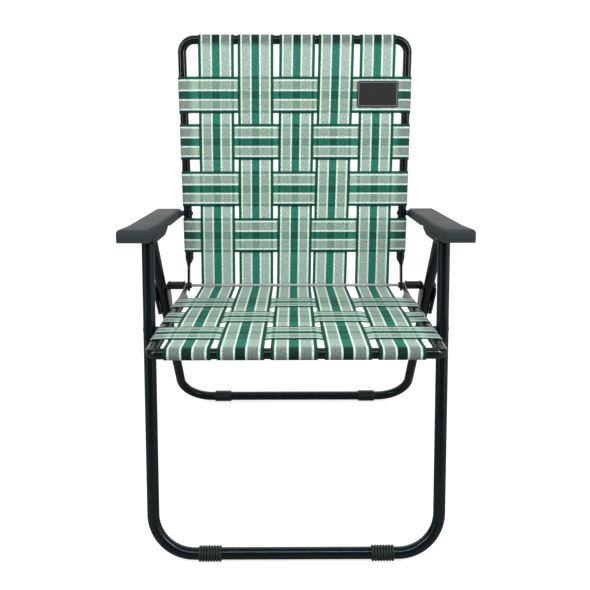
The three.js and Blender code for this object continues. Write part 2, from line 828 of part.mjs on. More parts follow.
// Foot sleeves: ribbed rings round the foot tubes, cut flat below
const footZ = legRadius + sleeveWall - sleeveFlat;
const frontSleeveX = frontLegHalf - frontLegBend - sleeveToBend - sleeveLength / 2;
const rearSleeveX = rearLegHalf - rearLegBend - sleeveToBend - sleeveLength / 2;
function sleeve(center, x) {
  const outer = legRadius + sleeveWall;
  const groove = outer - sleeveRibDepth;
  const start = x - sleeveLength / 2;
  const pitch = sleeveLength / ribCount;
  const profile = [];
  for (let i = 0; i < ribCount; i += 1) {
    profile.push([start + i * pitch, groove]);
    profile.push([start + (i + 0.5) * pitch, outer]);
  }
  profile.push([start + sleeveLength, groove]);
  const body = turnedPiece(center, profile, sleeveSides);
  const boreRadius = legRadius + runningGap;
  const boreProfile = [[start - outer, boreRadius], [start + sleeveLength + outer, boreRadius]];
  const bore = turnedPiece(center, boreProfile, ringSides);
  const low = center.y - footZ;
  const ground = plate(
    [
      point(center.x - 2 * outer, low - outer),
      point(center.x + 2 * outer, low - outer),
      point(center.x + 2 * outer, low),
      point(center.x - 2 * outer, low),
    ],
    start - outer,
    start + sleeveLength + outer,
  );
  return cut(body, [bore, ground]);
}

for (const [side, s] of [["left", -1], ["right", 1]]) {
  addMesh(`front_foot_sleeve_${side}`, sleeve(footPoint, s * frontSleeveX), blackRubber());
  addMesh(`rear_foot_sleeve_${side}`, sleeve(rearFoot, s * rearSleeveX), blackRubber());
}

// Webbing: a thin strip swept along a path of (reach, height) pairs
function strip(path, cornersAt) {
  const rings = path.map((p, i) => {
    const before = path[Math.max(i - 1, 0)];
    const after = path[Math.min(i + 1, path.length - 1)];
    const heading = unit(point(before[0], before[1]), point(after[0], after[1]));
    const normal = turned(heading);
    const half = webThick / 2;
    const out = [p[0] + normal.x * half, p[1] + normal.y * half];
    const into = [p[0] - normal.x * half, p[1] - normal.y * half];
    return [...cornersAt(out), ...cornersAt(into).reverse()];
  });
  return loft(rings);
}

// Height of a strap over or under the ones it crosses
const overHeight = (webThick + webCrossGap) / 2;
function weavePath(from, to, crossings) {
  const path = [];
  const step = Math.sign(to - from);
  for (const { at, over } of crossings) {
    const height = over ? overHeight : -overHeight;
    path.push([at - (step * webWidth) / 2 + step * webThick, height]);
    path.push([at + (step * webWidth) / 2 - step * webThick, height]);
  }
  return path;
}

// Wrap round a tube whose middle is at (reach, height), ending in a short tail underneath
function wrap(middle, radius, toward) {
  const list = [];
  const lap = radius + webLift;
  const around = 2 * Math.PI * webWrapShare;
  for (let i = 0; i <= wrapSteps; i += 1) {
    const angle = Math.PI / 2 - (toward * around * i) / wrapSteps;
    list.push([middle[0] + lap * Math.cos(angle), middle[1] + lap * Math.sin(angle)]);
  }
  return list;
}

const laneAt = (plane, ends, v) => ends[0] + ((ends[1] - ends[0]) * v) / plane.barReach;

function crossStrap(plane, radius, halfAt, reach, lanes, overFirst) {
  const half = halfAt(reach);
  const crossings = lanes.map((x, i) => ({ at: x, over: (i % 2 === 0) === overFirst }));
  const leftWrap = wrap([-half, -plane.railDepth], radius, -1).reverse();
  const rightWrap = wrap([half, -plane.railDepth], radius, 1);
  const path = [...leftWrap, ...weavePath(-half, half, crossings), ...rightWrap];
  const low = reach - webWidth / 2;
  const high = reach + webWidth / 2;
  const cornersAt = ([x, h]) => {
    const shift = (v) => (halfAt(v) / half) * x;
    return [plane.spot(shift(low), low, h), plane.spot(shift(high), high, h)];
  };
  return strip(path, cornersAt);
}

function longStrap(plane, radius, lane, rows, overFirst, startPath) {
  const crossings = rows.map((v, i) => ({ at: v, over: (i % 2 === 0) === overFirst }));
  const top = wrap([plane.barReach, -plane.railDepth], radius, 1);
  const path = [...startPath, ...weavePath(0, plane.barReach, crossings), ...top];
  const cornersAt = ([v, h]) => {
    const middle = laneAt(plane, lane, Math.max(v, 0));
    return [plane.spot(middle - webWidth / 2, v, h), plane.spot(middle + webWidth / 2, v, h)];
  };
  return strip(path, cornersAt);
}

const backHalfAt = (v) => railX(backLowHalf, backTopHalf, backPlane, v);
const seatHalfAt = (v) => railX(seatRearHalf, seatFrontHalf, seatPlane, v);
const topSpan = backTopHalf - backBend - webWidth / 2;
const frontSpan = seatFrontHalf - seatBend - webWidth / 2;
const axleSpan = nutOuterX - rodNutLength - webWidth / 2;
const backLanes = topLaneShares.map((share, i) => [axleLaneShares[i] * axleSpan, share * topSpan]);
const seatLanes = frontLaneShares.map((share, i) => [axleLaneShares[i] * axleSpan, share * frontSpan]);
const backBelow = backPivotV - webWidth / 2 - backRowBelowStud;
const backAbove = backPivotV + webWidth / 2 + backRowAboveStud;
const upperRows = backRowShares.map((share) => backAbove + share * (backPlane.barReach - backAbove));
const backRows = [backBelow, backAbove, ...upperRows];
const seatBehind = seatPivotV - webWidth / 2 - seatRowBehindBolt;
const seatAhead = seatPivotV + webWidth / 2 + seatRowAheadOfBolt;
const seatRows = [seatRearRowShare * seatBehind, seatBehind, seatAhead];

backRows.forEach((reach, i) => {
  const lanes = backLanes.map((ends) => laneAt(backPlane, ends, reach));
  const overFirst = i % 2 === 1;
  const geometry = crossStrap(backPlane, backRadius, backHalfAt, reach, lanes, overFirst);
  addMesh(`back_cross_strap_${i + 1}`, geometry, greenWeb());
});
seatRows.forEach((reach, i) => {
  const lanes = seatLanes.map((ends) => laneAt(seatPlane, ends, reach));
  const overFirst = i % 2 === 0;
  const geometry = crossStrap(seatPlane, seatRadius, seatHalfAt, reach, lanes, overFirst);
  addMesh(`seat_cross_strap_${i + 1}`, geometry, greenWeb());
});

// The corner under the cross rod belongs to the seat's half of each strap
function cornerPath() {
  const seatAngle = Math.atan2(seatPlane.along.y, seatPlane.along.x);
  const backAngle = Math.atan2(backPlane.along.y, backPlane.along.x);
  const around = Math.PI - (seatAngle - backAngle);
  const list = [];
  for (let i = 0; i <= cornerSteps; i += 1) {
    const angle = (around * (cornerSteps - i)) / cornerSteps;
    list.push([-strapToRod * Math.sin(angle), strapToRod * (1 - Math.cos(angle))]);
  }
  return list;
}
backLanes.forEach((lane, i) => {
  const start = [[webCornerGap, 0]];
  const geometry = longStrap(backPlane, backRadius, lane, backRows, i % 2 === 0, start);
  addMesh(`back_strap_${i + 1}`, geometry, greenWeb());
});
seatLanes.forEach((lane, i) => {
  const geometry = longStrap(seatPlane, seatRadius, lane, seatRows, i % 2 === 1, cornerPath());
  addMesh(`seat_strap_${i + 1}`, geometry, greenWeb());
});

// Patch, sewn on the front of the webbing
const patchLift = overHeight + webThick / 2 + runningGap;
const patchX = backHalfAt(patchReachShare * backPlane.barReach) * patchLaneShare;
const patchReach = patchReachShare * backPlane.barReach;
const patchCorners = (h) => [
  backPlane.spot(patchX - patchWidth / 2, patchReach - patchHeight / 2, h),
  backPlane.spot(patchX + patchWidth / 2, patchReach - patchHeight / 2, h),
  backPlane.spot(patchX + patchWidth / 2, patchReach + patchHeight / 2, h),
  backPlane.spot(patchX - patchWidth / 2, patchReach + patchHeight / 2, h),
];
addMesh("label_patch", loft([patchCorners(patchLift), patchCorners(patchLift + patchThick)]), patchCloth());

// The floor under the sleeves, and the middle of the chair's depth at zero
const box = new THREE.Box3();
for (const mesh of chair.children) {
  mesh.geometry.computeBoundingBox();
  box.union(mesh.geometry.boundingBox);
}
for (const mesh of chair.children) {
  mesh.geometry.translate(0, -(box.min.y + box.max.y) / 2, -box.min.z);
}

export default chair;
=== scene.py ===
# %% [markdown]
# Folding lawn chair with striped webbing
#
# The chair is a folding frame of bent steel tube, laced with flat woven straps. This lesson dresses the
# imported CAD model: each piece is modelled again with finer shapes, then gets a procedural material, and
# the photograph's camera looks at it. Lengths are in metres, X runs across, Y runs to the back and Z
# runs up.

import math

import bmesh
import bpy
from mathutils import Matrix, Vector


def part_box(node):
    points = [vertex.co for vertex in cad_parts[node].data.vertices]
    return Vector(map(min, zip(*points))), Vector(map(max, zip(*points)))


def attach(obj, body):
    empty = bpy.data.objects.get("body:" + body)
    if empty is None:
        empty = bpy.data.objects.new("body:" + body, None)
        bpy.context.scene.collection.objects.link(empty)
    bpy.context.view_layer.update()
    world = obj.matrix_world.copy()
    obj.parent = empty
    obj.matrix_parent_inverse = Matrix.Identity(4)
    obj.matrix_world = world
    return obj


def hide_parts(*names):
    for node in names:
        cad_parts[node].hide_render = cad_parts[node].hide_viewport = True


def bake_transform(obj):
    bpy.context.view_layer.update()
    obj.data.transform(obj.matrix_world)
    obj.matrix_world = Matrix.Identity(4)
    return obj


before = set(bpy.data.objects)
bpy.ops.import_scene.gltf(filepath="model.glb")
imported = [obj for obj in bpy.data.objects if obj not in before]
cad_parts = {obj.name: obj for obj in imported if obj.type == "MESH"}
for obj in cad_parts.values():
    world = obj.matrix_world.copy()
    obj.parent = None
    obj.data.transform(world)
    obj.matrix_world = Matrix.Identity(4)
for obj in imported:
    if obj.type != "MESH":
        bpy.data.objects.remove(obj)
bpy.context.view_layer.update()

# %% [markdown]
# The main places of the chair
#
# The frame works as a linkage in the side view, so every piece hangs on a few pivot points there. They
# are kept as (run, rise) pairs from the middle of the front foot tube, which its sleeves hold off the
# floor.

# %% Pivots and widths
LEG_RADIUS = 0.011
FLOOR_TO_TUBE = 0.0139

sleeve_low, sleeve_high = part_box("front_foot_sleeve_left")
FOOT_Y = (sleeve_low.y + sleeve_high.y) / 2

FOOT = Vector((0.0, 0.0))
ARM_PIVOT = Vector((0.1553, 0.5541))
AXLE = Vector((0.4184, 0.373))
SEAT_PIVOT = Vector((0.112484, 0.401335))
BACK_PIVOT = Vector((0.461216, 0.525765))
REAR_PIVOT = Vector((0.310162, 0.539728))
REAR_FOOT = Vector((0.591896, 0.0))
LINK_RIVET = Vector((0.430054, 0.310047))

OUTER_X = 0.305
REAR_LEG_X = 0.2908
FRONT_LEG_X = 0.262
LINK_INNER_X = 0.2775
LINK_OUTER_X = 0.3023
ARM_INNER_X = 0.2478
SEAT_FLAT_X = 0.2410
BACK_FLAT_X = 0.2351
SIDES = (("left", -1), ("right", 1))


def place(x, run, rise):
    """A point of the chair from its width, run and rise."""
    return Vector((x, FOOT_Y + run, FLOOR_TO_TUBE + rise))


print("Front foot tube at Y", round(FOOT_Y, 4))

# %% [markdown]
# The planes of the straps
#
# The seat's straps lie in one plane and the back's in another, each stretched over a U-shaped tube.
# Both planes start behind the cross rod, so everything woven is placed by its distance along a plane
# and its height off it.

# %% Strap planes
ROD_DROP = 0.004
TUBE_DEPTH = 0.00995


def between(a, b, t):
    """The value a share t of the way from a to b."""
    return a + (b - a) * t


def eased(t):
    """A smooth step from 0 to 1."""
    return t * t * (3 - 2 * t)


def share_of(value, start, end):
    """How far a value has come from start to end, kept between 0 and 1."""
    return min(max((value - start) / (end - start), 0.0), 1.0)


class Plane:
    """A strap plane and its tube: v runs along it from the rod, h off it towards the sitter."""

    def __init__(self, along, off, bar, radius, low_half, bar_half):
        self.along = Vector(along).normalized()
        self.off = Vector(off).normalized()
        self.origin = AXLE - self.off * ROD_DROP
        self.bar = bar
        self.radius = radius
        self.low_half = low_half
        self.bar_half = bar_half

    def side_point(self, v, h):
        return self.origin + self.along * v + self.off * h

    def spot(self, x, v, h):
        p = self.side_point(v, h)
        return place(x, p.x, p.y)

    def half_at(self, v):
        """Half the width between the rails."""
        return between(self.low_half, self.bar_half, v / self.bar)

    def reach_of(self, point):
        return (point - self.origin).dot(self.along)


SEAT = Plane((-0.990834, 0.135087), (0.135087, 0.990834), 0.448022, 0.009, 0.2382, 0.2350)
BACK = Plane((0.190998, 0.98159), (-0.98159, 0.190998), 0.5206, 0.009, 0.2331, 0.2381)
print("Seat tube at", round(SEAT.bar, 4), "and back tube at", round(BACK.bar, 4), "from the rod")

# %% [markdown]
# The camera
#
# The photograph is a catalogue picture on white. Its camera stands in front of the chair, a little
# above the seat, and looks down by about 21 degrees. The focal length in pixels and the place were
# fitted to the tubes.

# %% Camera
PHOTO_PIXELS = 590
FOCAL_PIXELS = 700
SENSOR = 36.0
CAMERA_X = -0.00865
CAMERA_DISTANCE = 1.0363
CAMERA_HEIGHT = 0.9182
CAMERA_DROP = math.radians(20.87)
CAMERA_TURN = math.radians(-0.33)

camera_data = bpy.data.cameras.new("photo_camera")
camera_data.sensor_width = SENSOR
camera_data.lens = SENSOR * FOCAL_PIXELS / PHOTO_PIXELS
camera_data.clip_end = 50.0
camera = bpy.data.objects.new("photo_camera", camera_data)
camera.location = (CAMERA_X, FOOT_Y - CAMERA_DISTANCE, CAMERA_HEIGHT)
camera.rotation_euler = (math.pi / 2 - CAMERA_DROP, 0.0, CAMERA_TURN)
bpy.context.scene.collection.objects.link(camera)
bpy.context.scene.camera = camera
bpy.context.scene.view_settings.view_transform = "Standard"
print("Camera lens", round(camera_data.lens, 2), "mm")

# %% [markdown]
# Small helpers for nodes
#
# Every material here is a tree of nodes, and most nodes only do a sum, a mix or a change of range.
# These helpers add one such node each and give back its output, so a material reads like a formula.
# Wiring each node by hand would say the same in four times the lines.

# %% Node helpers
def plug(tree, socket, value):
    """Sets a socket to a number or a colour, or links an output to it."""
    if isinstance(value, (int, float, tuple)):
        socket.default_value = value
    else:
        tree.links.new(value, socket)


def maths(tree, operation, *values):
    node = tree.nodes.new("ShaderNodeMath")
    node.operation = operation
    for socket, value in zip(node.inputs, values):
        plug(tree, socket, value)
    return node.outputs["Value"]


def mixed(tree, blend, factor, a, b):
    """Mixes two colours, whose sockets are the sixth and seventh after the factor's."""
    node = tree.nodes.new("ShaderNodeMix")
    node.data_type = "RGBA"
    node.blend_type = blend
    for index, value in ((0, factor), (6, a), (7, b)):
        plug(tree, node.inputs[index], value)
    return node.outputs[2]


def ranged(tree, value, before, after):
    """Maps a value from one pair of ends to another."""
    node = tree.nodes.new("ShaderNodeMapRange")
    plug(tree, node.inputs["Value"], value)
    for name, end in zip(("From Min", "From Max", "To Min", "To Max"), (*before, *after)):
        plug(tree, node.inputs[name], end)
    return node.outputs["Result"]


def new_material(name):
    material = bpy.data.materials.new(name)
    material.use_nodes = True
    return material, material.node_tree, material.node_tree.nodes["Principled BSDF"]


print("Colours are shown by", bpy.context.scene.view_settings.view_transform)

# %% [markdown]
# The floor
#
# Seen by the camera the floor is white, but a white floor would turn the underside of every black tube
# grey. So the floor is grey, and a glow that only the camera sees lifts it to white and keeps the
# chair's soft shadow. In reflections it is darker in front of the chair and lighter behind it, as in a
# studio sweep.

# %% Floor
FLOOR_HALF = 15.0
FLOOR_GREY = (0.42, 0.42, 0.42, 1)
FLOOR_GLOW = 0.78
MIRRORED_FADE = (0.2, 1.2)
MIRRORED_GREYS = (0.20, 0.42)
WHITE_LIGHT = (1, 1, 1, 1)


def plain_plane(name, half, material):
    bm = bmesh.new()
    bmesh.ops.create_grid(bm, x_segments=1, y_segments=1, size=half)
    mesh = bpy.data.meshes.new(name)
    bm.to_mesh(mesh)
    bm.free()
    mesh.materials.append(material)
    obj = bpy.data.objects.new(name, mesh)
    bpy.context.scene.collection.objects.link(obj)
    return obj


floor_material, floor_tree, floor_shader = new_material("floor_white")
floor_rays = floor_tree.nodes.new("ShaderNodeLightPath")
floor_place = floor_tree.nodes.new("ShaderNodeTexCoord")
floor_parts = floor_tree.nodes.new("ShaderNodeSeparateXYZ")
floor_tree.links.new(floor_place.outputs["Object"], floor_parts.inputs["Vector"])
mirrored = ranged(floor_tree, floor_parts.outputs["Y"], MIRRORED_FADE, MIRRORED_GREYS)
floor_color = mixed(floor_tree, "MIX", floor_rays.outputs["Is Glossy Ray"], FLOOR_GREY, mirrored)
floor_glow = maths(floor_tree, "MULTIPLY", floor_rays.outputs["Is Camera Ray"], FLOOR_GLOW)
floor_shader.inputs["Roughness"].default_value = 1.0
floor_shader.inputs["Specular IOR Level"].default_value = 0.0
floor_shader.inputs["Emission Color"].default_value = WHITE_LIGHT
plug(floor_tree, floor_shader.inputs["Base Color"], floor_color)
plug(floor_tree, floor_shader.inputs["Emission Strength"], floor_glow)
plain_plane("floor", FLOOR_HALF, floor_material)
print("Floor", 2 * FLOOR_HALF, "m square")

# %% [markdown]
# The light
#
# The world is white for the camera and almost black in reflections, so that the black tubes show clear
# lines of light from the lamps alone. Two upright strips draw the lines along the legs, two low cards
# light the sides, and a bar above lights the rails. A glowing backdrop gives glancing surfaces
# something white to mirror.

# %% World, lamps and backdrop
WORLD_FILL = 0.54
WORLD_MIRRORED = 0.05
WORLD_SEEN = 1.05
LAMPS = (
    ("right_strip", (1.65, -1.05, 1.9), (0, 0, 0.8), (0.30, 1.4), 20),
    ("left_strip", (-1.75, -1.05, 1.9), (0, 0, 0.8), (0.30, 1.4), 14),
    ("right_card", (1.9, -0.8, 0.60), (0, -0.2, 0.4), (2.2, 1.1), 4.5),
    ("left_card", (-1.9, -1.2, 0.60), (0, -0.2, 0.4), (1.2, 1.1), 2.2),
    ("top_strip", (0, -1.35, 2.3), (0, 0, 0.4), (2.4, 0.22), 16),
)
BACKDROP_HALF = 5.0
BACKDROP_Y = 3.2

world = bpy.data.worlds.new("studio")
world.use_nodes = True
bpy.context.scene.world = world
world_tree = world.node_tree
world_rays = world_tree.nodes.new("ShaderNodeLightPath")
glossy_or_not = world_tree.nodes.new("ShaderNodeMix")
seen_or_not = world_tree.nodes.new("ShaderNodeMix")
plug(world_tree, glossy_or_not.inputs["Factor"], world_rays.outputs["Is Glossy Ray"])
plug(world_tree, glossy_or_not.inputs["A"], WORLD_FILL)
plug(world_tree, glossy_or_not.inputs["B"], WORLD_MIRRORED)
plug(world_tree, seen_or_not.inputs["Factor"], world_rays.outputs["Is Camera Ray"])
plug(world_tree, seen_or_not.inputs["A"], glossy_or_not.outputs["Result"])
plug(world_tree, seen_or_not.inputs["B"], WORLD_SEEN)
background = world_tree.nodes["Background"]
plug(world_tree, background.inputs["Color"], WHITE_LIGHT)
plug(world_tree, background.inputs["Strength"], seen_or_not.outputs["Result"])


def area_lamp(name, location, target, size, watts):
    data = bpy.data.lights.new(name, "AREA")
    data.shape = "RECTANGLE"
    data.size, data.size_y = size
    data.energy = watts
    lamp = bpy.data.objects.new(name, data)
    lamp.location = location
    aim = Vector(target) - Vector(location)
    lamp.rotation_euler = aim.to_track_quat("-Z", "Y").to_euler()
    bpy.context.scene.collection.objects.link(lamp)


for lamp_facts in LAMPS:
    area_lamp(*lamp_facts)

backdrop_material, _, backdrop_shader = new_material("backdrop_white")
backdrop_shader.inputs["Base Color"].default_value = (0, 0, 0, 1)
backdrop_shader.inputs["Specular IOR Level"].default_value = 0.0
backdrop_shader.inputs["Emission Color"].default_value = WHITE_LIGHT
backdrop_shader.inputs["Emission Strength"].default_value = WORLD_SEEN
backdrop = plain_plane("backdrop", BACKDROP_HALF, backdrop_material)
backdrop.location = (0.0, BACKDROP_Y, BACKDROP_HALF)
backdrop.rotation_euler = (math.pi / 2, 0.0, 0.0)
print("Lamps", len(LAMPS))

# %% [markdown]
# The plain finishes
#
# The tubes wear a black powder coat, smooth with a faint orange peel. The armrests are moulded plastic
# with a fine grain, the sleeves are rubber, and the small parts are zinc plated or blackened steel.
# None of them is evenly glossy, so one node group puts out a fine height and an uneven roughness, and
# each finish sets its own grain. The finishes are kept by the name of the CAD model's material slot.

# %% Plain finishes
BROAD_SCALE = 14.0
BROAD_DETAIL = 4.0
BROAD_ENDS = (0.35, 0.65)


def grain_group():
    """Puts out a fine height and an uneven roughness from object coordinates."""
    group = bpy.data.node_groups.new("SurfaceGrain", "ShaderNodeTree")
    for name in ("Scale", "Roughness Low", "Roughness High"):
        group.interface.new_socket(name, in_out="INPUT", socket_type="NodeSocketFloat")
    for name in ("Height", "Roughness"):
        group.interface.new_socket(name, in_out="OUTPUT", socket_type="NodeSocketFloat")
    inside = group.nodes.new("NodeGroupInput").outputs
    outside = group.nodes.new("NodeGroupOutput").inputs
    spot = group.nodes.new("ShaderNodeTexCoord").outputs["Object"]
    fine = group.nodes.new("ShaderNodeTexNoise")
    plug(group, fine.inputs["Vector"], spot)
    plug(group, fine.inputs["Scale"], inside["Scale"])
    plug(group, outside["Height"], fine.outputs["Fac"])
    broad = group.nodes.new("ShaderNodeTexNoise")
    plug(group, broad.inputs["Vector"], spot)
    plug(group, broad.inputs["Scale"], BROAD_SCALE)
    plug(group, broad.inputs["Detail"], BROAD_DETAIL)
    roughness = (inside["Roughness Low"], inside["Roughness High"])
    plug(group, outside["Roughness"], ranged(group, broad.outputs["Fac"], BROAD_ENDS, roughness))
    return group


GRAIN = grain_group()


def grained(name, color, rough, grain, relief, metallic=0.0, specular=0.5):
    """A plain finish: its colour, its ends of roughness, its grains per metre and their height."""
    material, tree, shader = new_material(name)
    surface = tree.nodes.new("ShaderNodeGroup")
    surface.node_tree = GRAIN
    plug(tree, surface.inputs["Scale"], grain)
    plug(tree, surface.inputs["Roughness Low"], rough[0])
    plug(tree, surface.inputs["Roughness High"], rough[1])
    bump = tree.nodes.new("ShaderNodeBump")
    plug(tree, bump.inputs["Distance"], relief)
    plug(tree, bump.inputs["Strength"], 1.0)
    plug(tree, bump.inputs["Height"], surface.outputs["Height"])
    plug(tree, shader.inputs["Base Color"], (*color, 1))
    plug(tree, shader.inputs["Metallic"], metallic)
    plug(tree, shader.inputs["Specular IOR Level"], specular)
    plug(tree, shader.inputs["Roughness"], surface.outputs["Roughness"])
    plug(tree, shader.inputs["Normal"], bump.outputs["Normal"])
    return material


BLACK_COAT = (0.0030, 0.0075, 0.0098)
ARM_GREY = (0.032, 0.040, 0.044)
RUBBER_BLACK = (0.018, 0.022, 0.024)
SPACER_BLACK = (0.012, 0.014, 0.015)
ZINC_GREY = (0.62, 0.63, 0.64)
DARK_STEEL = (0.09, 0.095, 0.10)
FINISHES = {
    "frame_paint": grained("powder_coat", BLACK_COAT, (0.15, 0.21), 900, 0.00003),
    "arm_plastic": grained("moulded_plastic", ARM_GREY, (0.50, 0.58), 1500, 0.00008, specular=0.25),
    "foot_rubber": grained("black_rubber", RUBBER_BLACK, (0.34, 0.42), 1200, 0.00003),
    "spacer_plastic": grained("spacer_plastic", SPACER_BLACK, (0.35, 0.42), 1200, 0.00003),
    "zinc_steel": grained("zinc_plate", ZINC_GREY, (0.36, 0.46), 700, 0.00002, metallic=0.7),
    "black_steel": grained("black_steel", DARK_STEEL, (0.20, 0.28), 900, 0.00002, metallic=0.8),
}
print("Plain finishes", len(FINISHES))

# %% [markdown]
# The webbing's stripes
#
# Across the strap the yarns run in nine stripes: a dark green edge, a white line, a wide sage band, a
# white line, a green middle, and the same again backwards. An image could hold them, but constant steps
# in a colour ramp stay as clean as yarn colours from near by, and each colour is one value. The same
# steps say how sheer each stripe is and how much it darkens a stripe in front of it.

# %% Stripes
EDGE_GREEN = (0.006, 0.120, 0.075)
MID_GREEN = (0.022, 0.200, 0.138)
SAGE = (0.390, 0.508, 0.438)
WHITE = (0.760, 0.900, 0.830)
STRIPES = (
    (0.0, "edge"),
    (0.078, "white"),
    (0.118, "sage"),
    (0.340, "white"),
    (0.385, "middle"),
    (0.600, "white"),
    (0.648, "sage"),
    (0.872, "white"),
    (0.918, "edge"),
)
YARN_COLORS = {"edge": EDGE_GREEN, "middle": MID_GREEN, "sage": SAGE, "white": WHITE}
SHEERNESS = {"edge": (0.60,) * 3, "middle": (0.88,) * 3, "sage": (0.60,) * 3, "white": (0.15,) * 3}
GREEN_SHADOW = (0.13, 0.37, 0.28)
SHADOWS = {
    "edge": GREEN_SHADOW,
    "middle": GREEN_SHADOW,
    "sage": (0.60, 0.65, 0.60),
    "white": (0.85, 0.90, 0.87),
}


def stripe_ramp(tree, across, colors):
    """One constant step for each stripe, read at the place across the strap."""
    ramp = tree.nodes.new("ShaderNodeValToRGB")
    steps = ramp.color_ramp
    steps.interpolation = "CONSTANT"
    while len(steps.elements) < len(STRIPES):
        steps.elements.new(1.0)
    for element, (start, kind) in zip(steps.elements, STRIPES):
        element.position = start
        element.color = (*colors[kind], 1)
    plug(tree, ramp.inputs["Fac"], across)
    return ramp.outputs["Color"]


print("Stripes", len(STRIPES))

# %% [markdown]
# The webbing's material
#
# The weave is thin enough to show what lies behind it, a strap or a dark tube, and that shadow is what
# makes the crossings look woven. Each strap carries two UV maps: "along" is the place across and along
# it, and "behind" is the place across the strap behind it, and how much of a tube is there, spread wider
# as painted shade near the rails. Uneven yarns and fine ribs break up the flat stripes.

# %% Webbing group
YARNS = 34.0
YARN_STRETCH = 0.0045
YARN_DETAIL = 2.0
SPECKLE = 1.5
RIBS_ACROSS = 52
PICK_LENGTH = 0.0016
PICK_SHARE = 0.5
WEAVE_RELIEF = 0.00012
TUBE_SHADOW = (0.0, 0.03, 0.04, 1)


def webbing_group():
    """Stripe colour from what is in front and behind, with painted shade near the tubes, and the relief of
    the yarns.
    """
    group = bpy.data.node_groups.new("WebbingStripes", "ShaderNodeTree")
    for name in ("Across", "Along", "Behind", "Tube And Painted Shade"):
        group.interface.new_socket(name, in_out="INPUT", socket_type="NodeSocketFloat")
    group.interface.new_socket("Color", in_out="OUTPUT", socket_type="NodeSocketColor")
    group.interface.new_socket("Height", in_out="OUTPUT", socket_type="NodeSocketFloat")
    inside = group.nodes.new("NodeGroupInput").outputs
    outside = group.nodes.new("NodeGroupOutput").inputs

    front = stripe_ramp(group, inside["Across"], YARN_COLORS)
    sheer = stripe_ramp(group, inside["Across"], SHEERNESS)
    shadow = stripe_ramp(group, inside["Behind"], SHADOWS)
    after_edge = maths(group, "GREATER_THAN", inside["Behind"], 0.0)
    before_edge = maths(group, "LESS_THAN", inside["Behind"], 1.0)
    covered = maths(group, "MULTIPLY", after_edge, before_edge)
    strap_share = maths(group, "MULTIPLY", covered, sheer)
    over_strap = mixed(group, "MULTIPLY", strap_share, front, shadow)
    # Painted shade: the tube's share reaches past the tube itself, so the strap darkens near and round the
    # rails.
    behind_tube_and_shade = maths(group, "MULTIPLY", inside["Tube And Painted Shade"], sheer)
    over_tube_and_shade = mixed(group, "MULTIPLY", behind_tube_and_shade, over_strap, TUBE_SHADOW)

    yarn_place = group.nodes.new("ShaderNodeCombineXYZ")
    plug(group, yarn_place.inputs["X"], maths(group, "MULTIPLY", inside["Across"], YARNS))
    plug(group, yarn_place.inputs["Y"], maths(group, "DIVIDE", inside["Along"], YARN_STRETCH))
    speckle = group.nodes.new("ShaderNodeTexNoise")
    plug(group, speckle.inputs["Scale"], 1.0)
    plug(group, speckle.inputs["Detail"], YARN_DETAIL)
    plug(group, speckle.inputs["Vector"], yarn_place.outputs["Vector"])
    uneven = maths(group, "MULTIPLY_ADD", speckle.outputs["Fac"], SPECKLE, 1 - SPECKLE / 2)
    plug(group, outside["Color"], mixed(group, "MULTIPLY", 1.0, over_tube_and_shade, uneven))

    def waves(place_on, turns):
        return maths(group, "ABSOLUTE", maths(group, "SINE", maths(group, "MULTIPLY", place_on, turns)))

    ribs = waves(inside["Across"], math.pi * RIBS_ACROSS)
    picks = waves(inside["Along"], math.pi / PICK_LENGTH)
    soft_picks = maths(group, "MULTIPLY", picks, PICK_SHARE)
    plug(group, outside["Height"], maths(group, "ADD", ribs, soft_picks))
    return group


WEB_STRIPES = webbing_group()
print("Webbing group has", len(WEB_STRIPES.nodes), "nodes")

# %% [markdown]
# From the group to the straps
#
# The group knows nothing of a mesh. The material reads the two UV maps, which follow the strap round
# every bend, hands their numbers to the group and turns the group's height into a bump. Object
# coordinates would slide over the weave where a strap bends.

# %% Webbing material
WEB_ROUGHNESS = 0.62
WEB_SPECULAR = 0.15


def uv_parts(tree, name):
    """The two numbers of a UV map."""
    uv_map = tree.nodes.new("ShaderNodeUVMap")
    uv_map.uv_map = name
    parts = tree.nodes.new("ShaderNodeSeparateXYZ")
    plug(tree, parts.inputs["Vector"], uv_map.outputs["UV"])
    return parts.outputs["X"], parts.outputs["Y"]


WEBBING, web_tree, web_shader = new_material("striped_webbing")
web_stripes = web_tree.nodes.new("ShaderNodeGroup")
web_stripes.node_tree = WEB_STRIPES
web_facts = (*uv_parts(web_tree, "along"), *uv_parts(web_tree, "behind"))
for name, fact in zip(("Across", "Along", "Behind", "Tube And Painted Shade"), web_facts):
    plug(web_tree, web_stripes.inputs[name], fact)
web_relief = web_tree.nodes.new("ShaderNodeBump")
plug(web_tree, web_relief.inputs["Distance"], WEAVE_RELIEF)
plug(web_tree, web_relief.inputs["Height"], web_stripes.outputs["Height"])
plug(web_tree, web_shader.inputs["Roughness"], WEB_ROUGHNESS)
plug(web_tree, web_shader.inputs["Specular IOR Level"], WEB_SPECULAR)
plug(web_tree, web_shader.inputs["Base Color"], web_stripes.outputs["Color"])
plug(web_tree, web_shader.inputs["Normal"], web_relief.outputs["Normal"])
FINISHES["webbing"] = WEBBING
print("Materials", len(bpy.data.materials))

# %% [markdown]
# Making pieces
#
# Every piece goes through the same last steps: merge doubled points, turn the faces outwards, smooth
# the shading up to an angle, and hand it to the body that carries it. Points and faces could be listed
# one by one, but operators keep a shape closed and short to write: a round piece is half an outline
# spun round a line, and a flat one is an outline pushed to its thickness, with its rims rounded.

# %% Helpers for pieces
SMOOTH_ANGLE = math.radians(38)
SPIN_STEPS = 36
MERGE_REACH = 1e-6
PLATE_ROUND_STEPS = 2


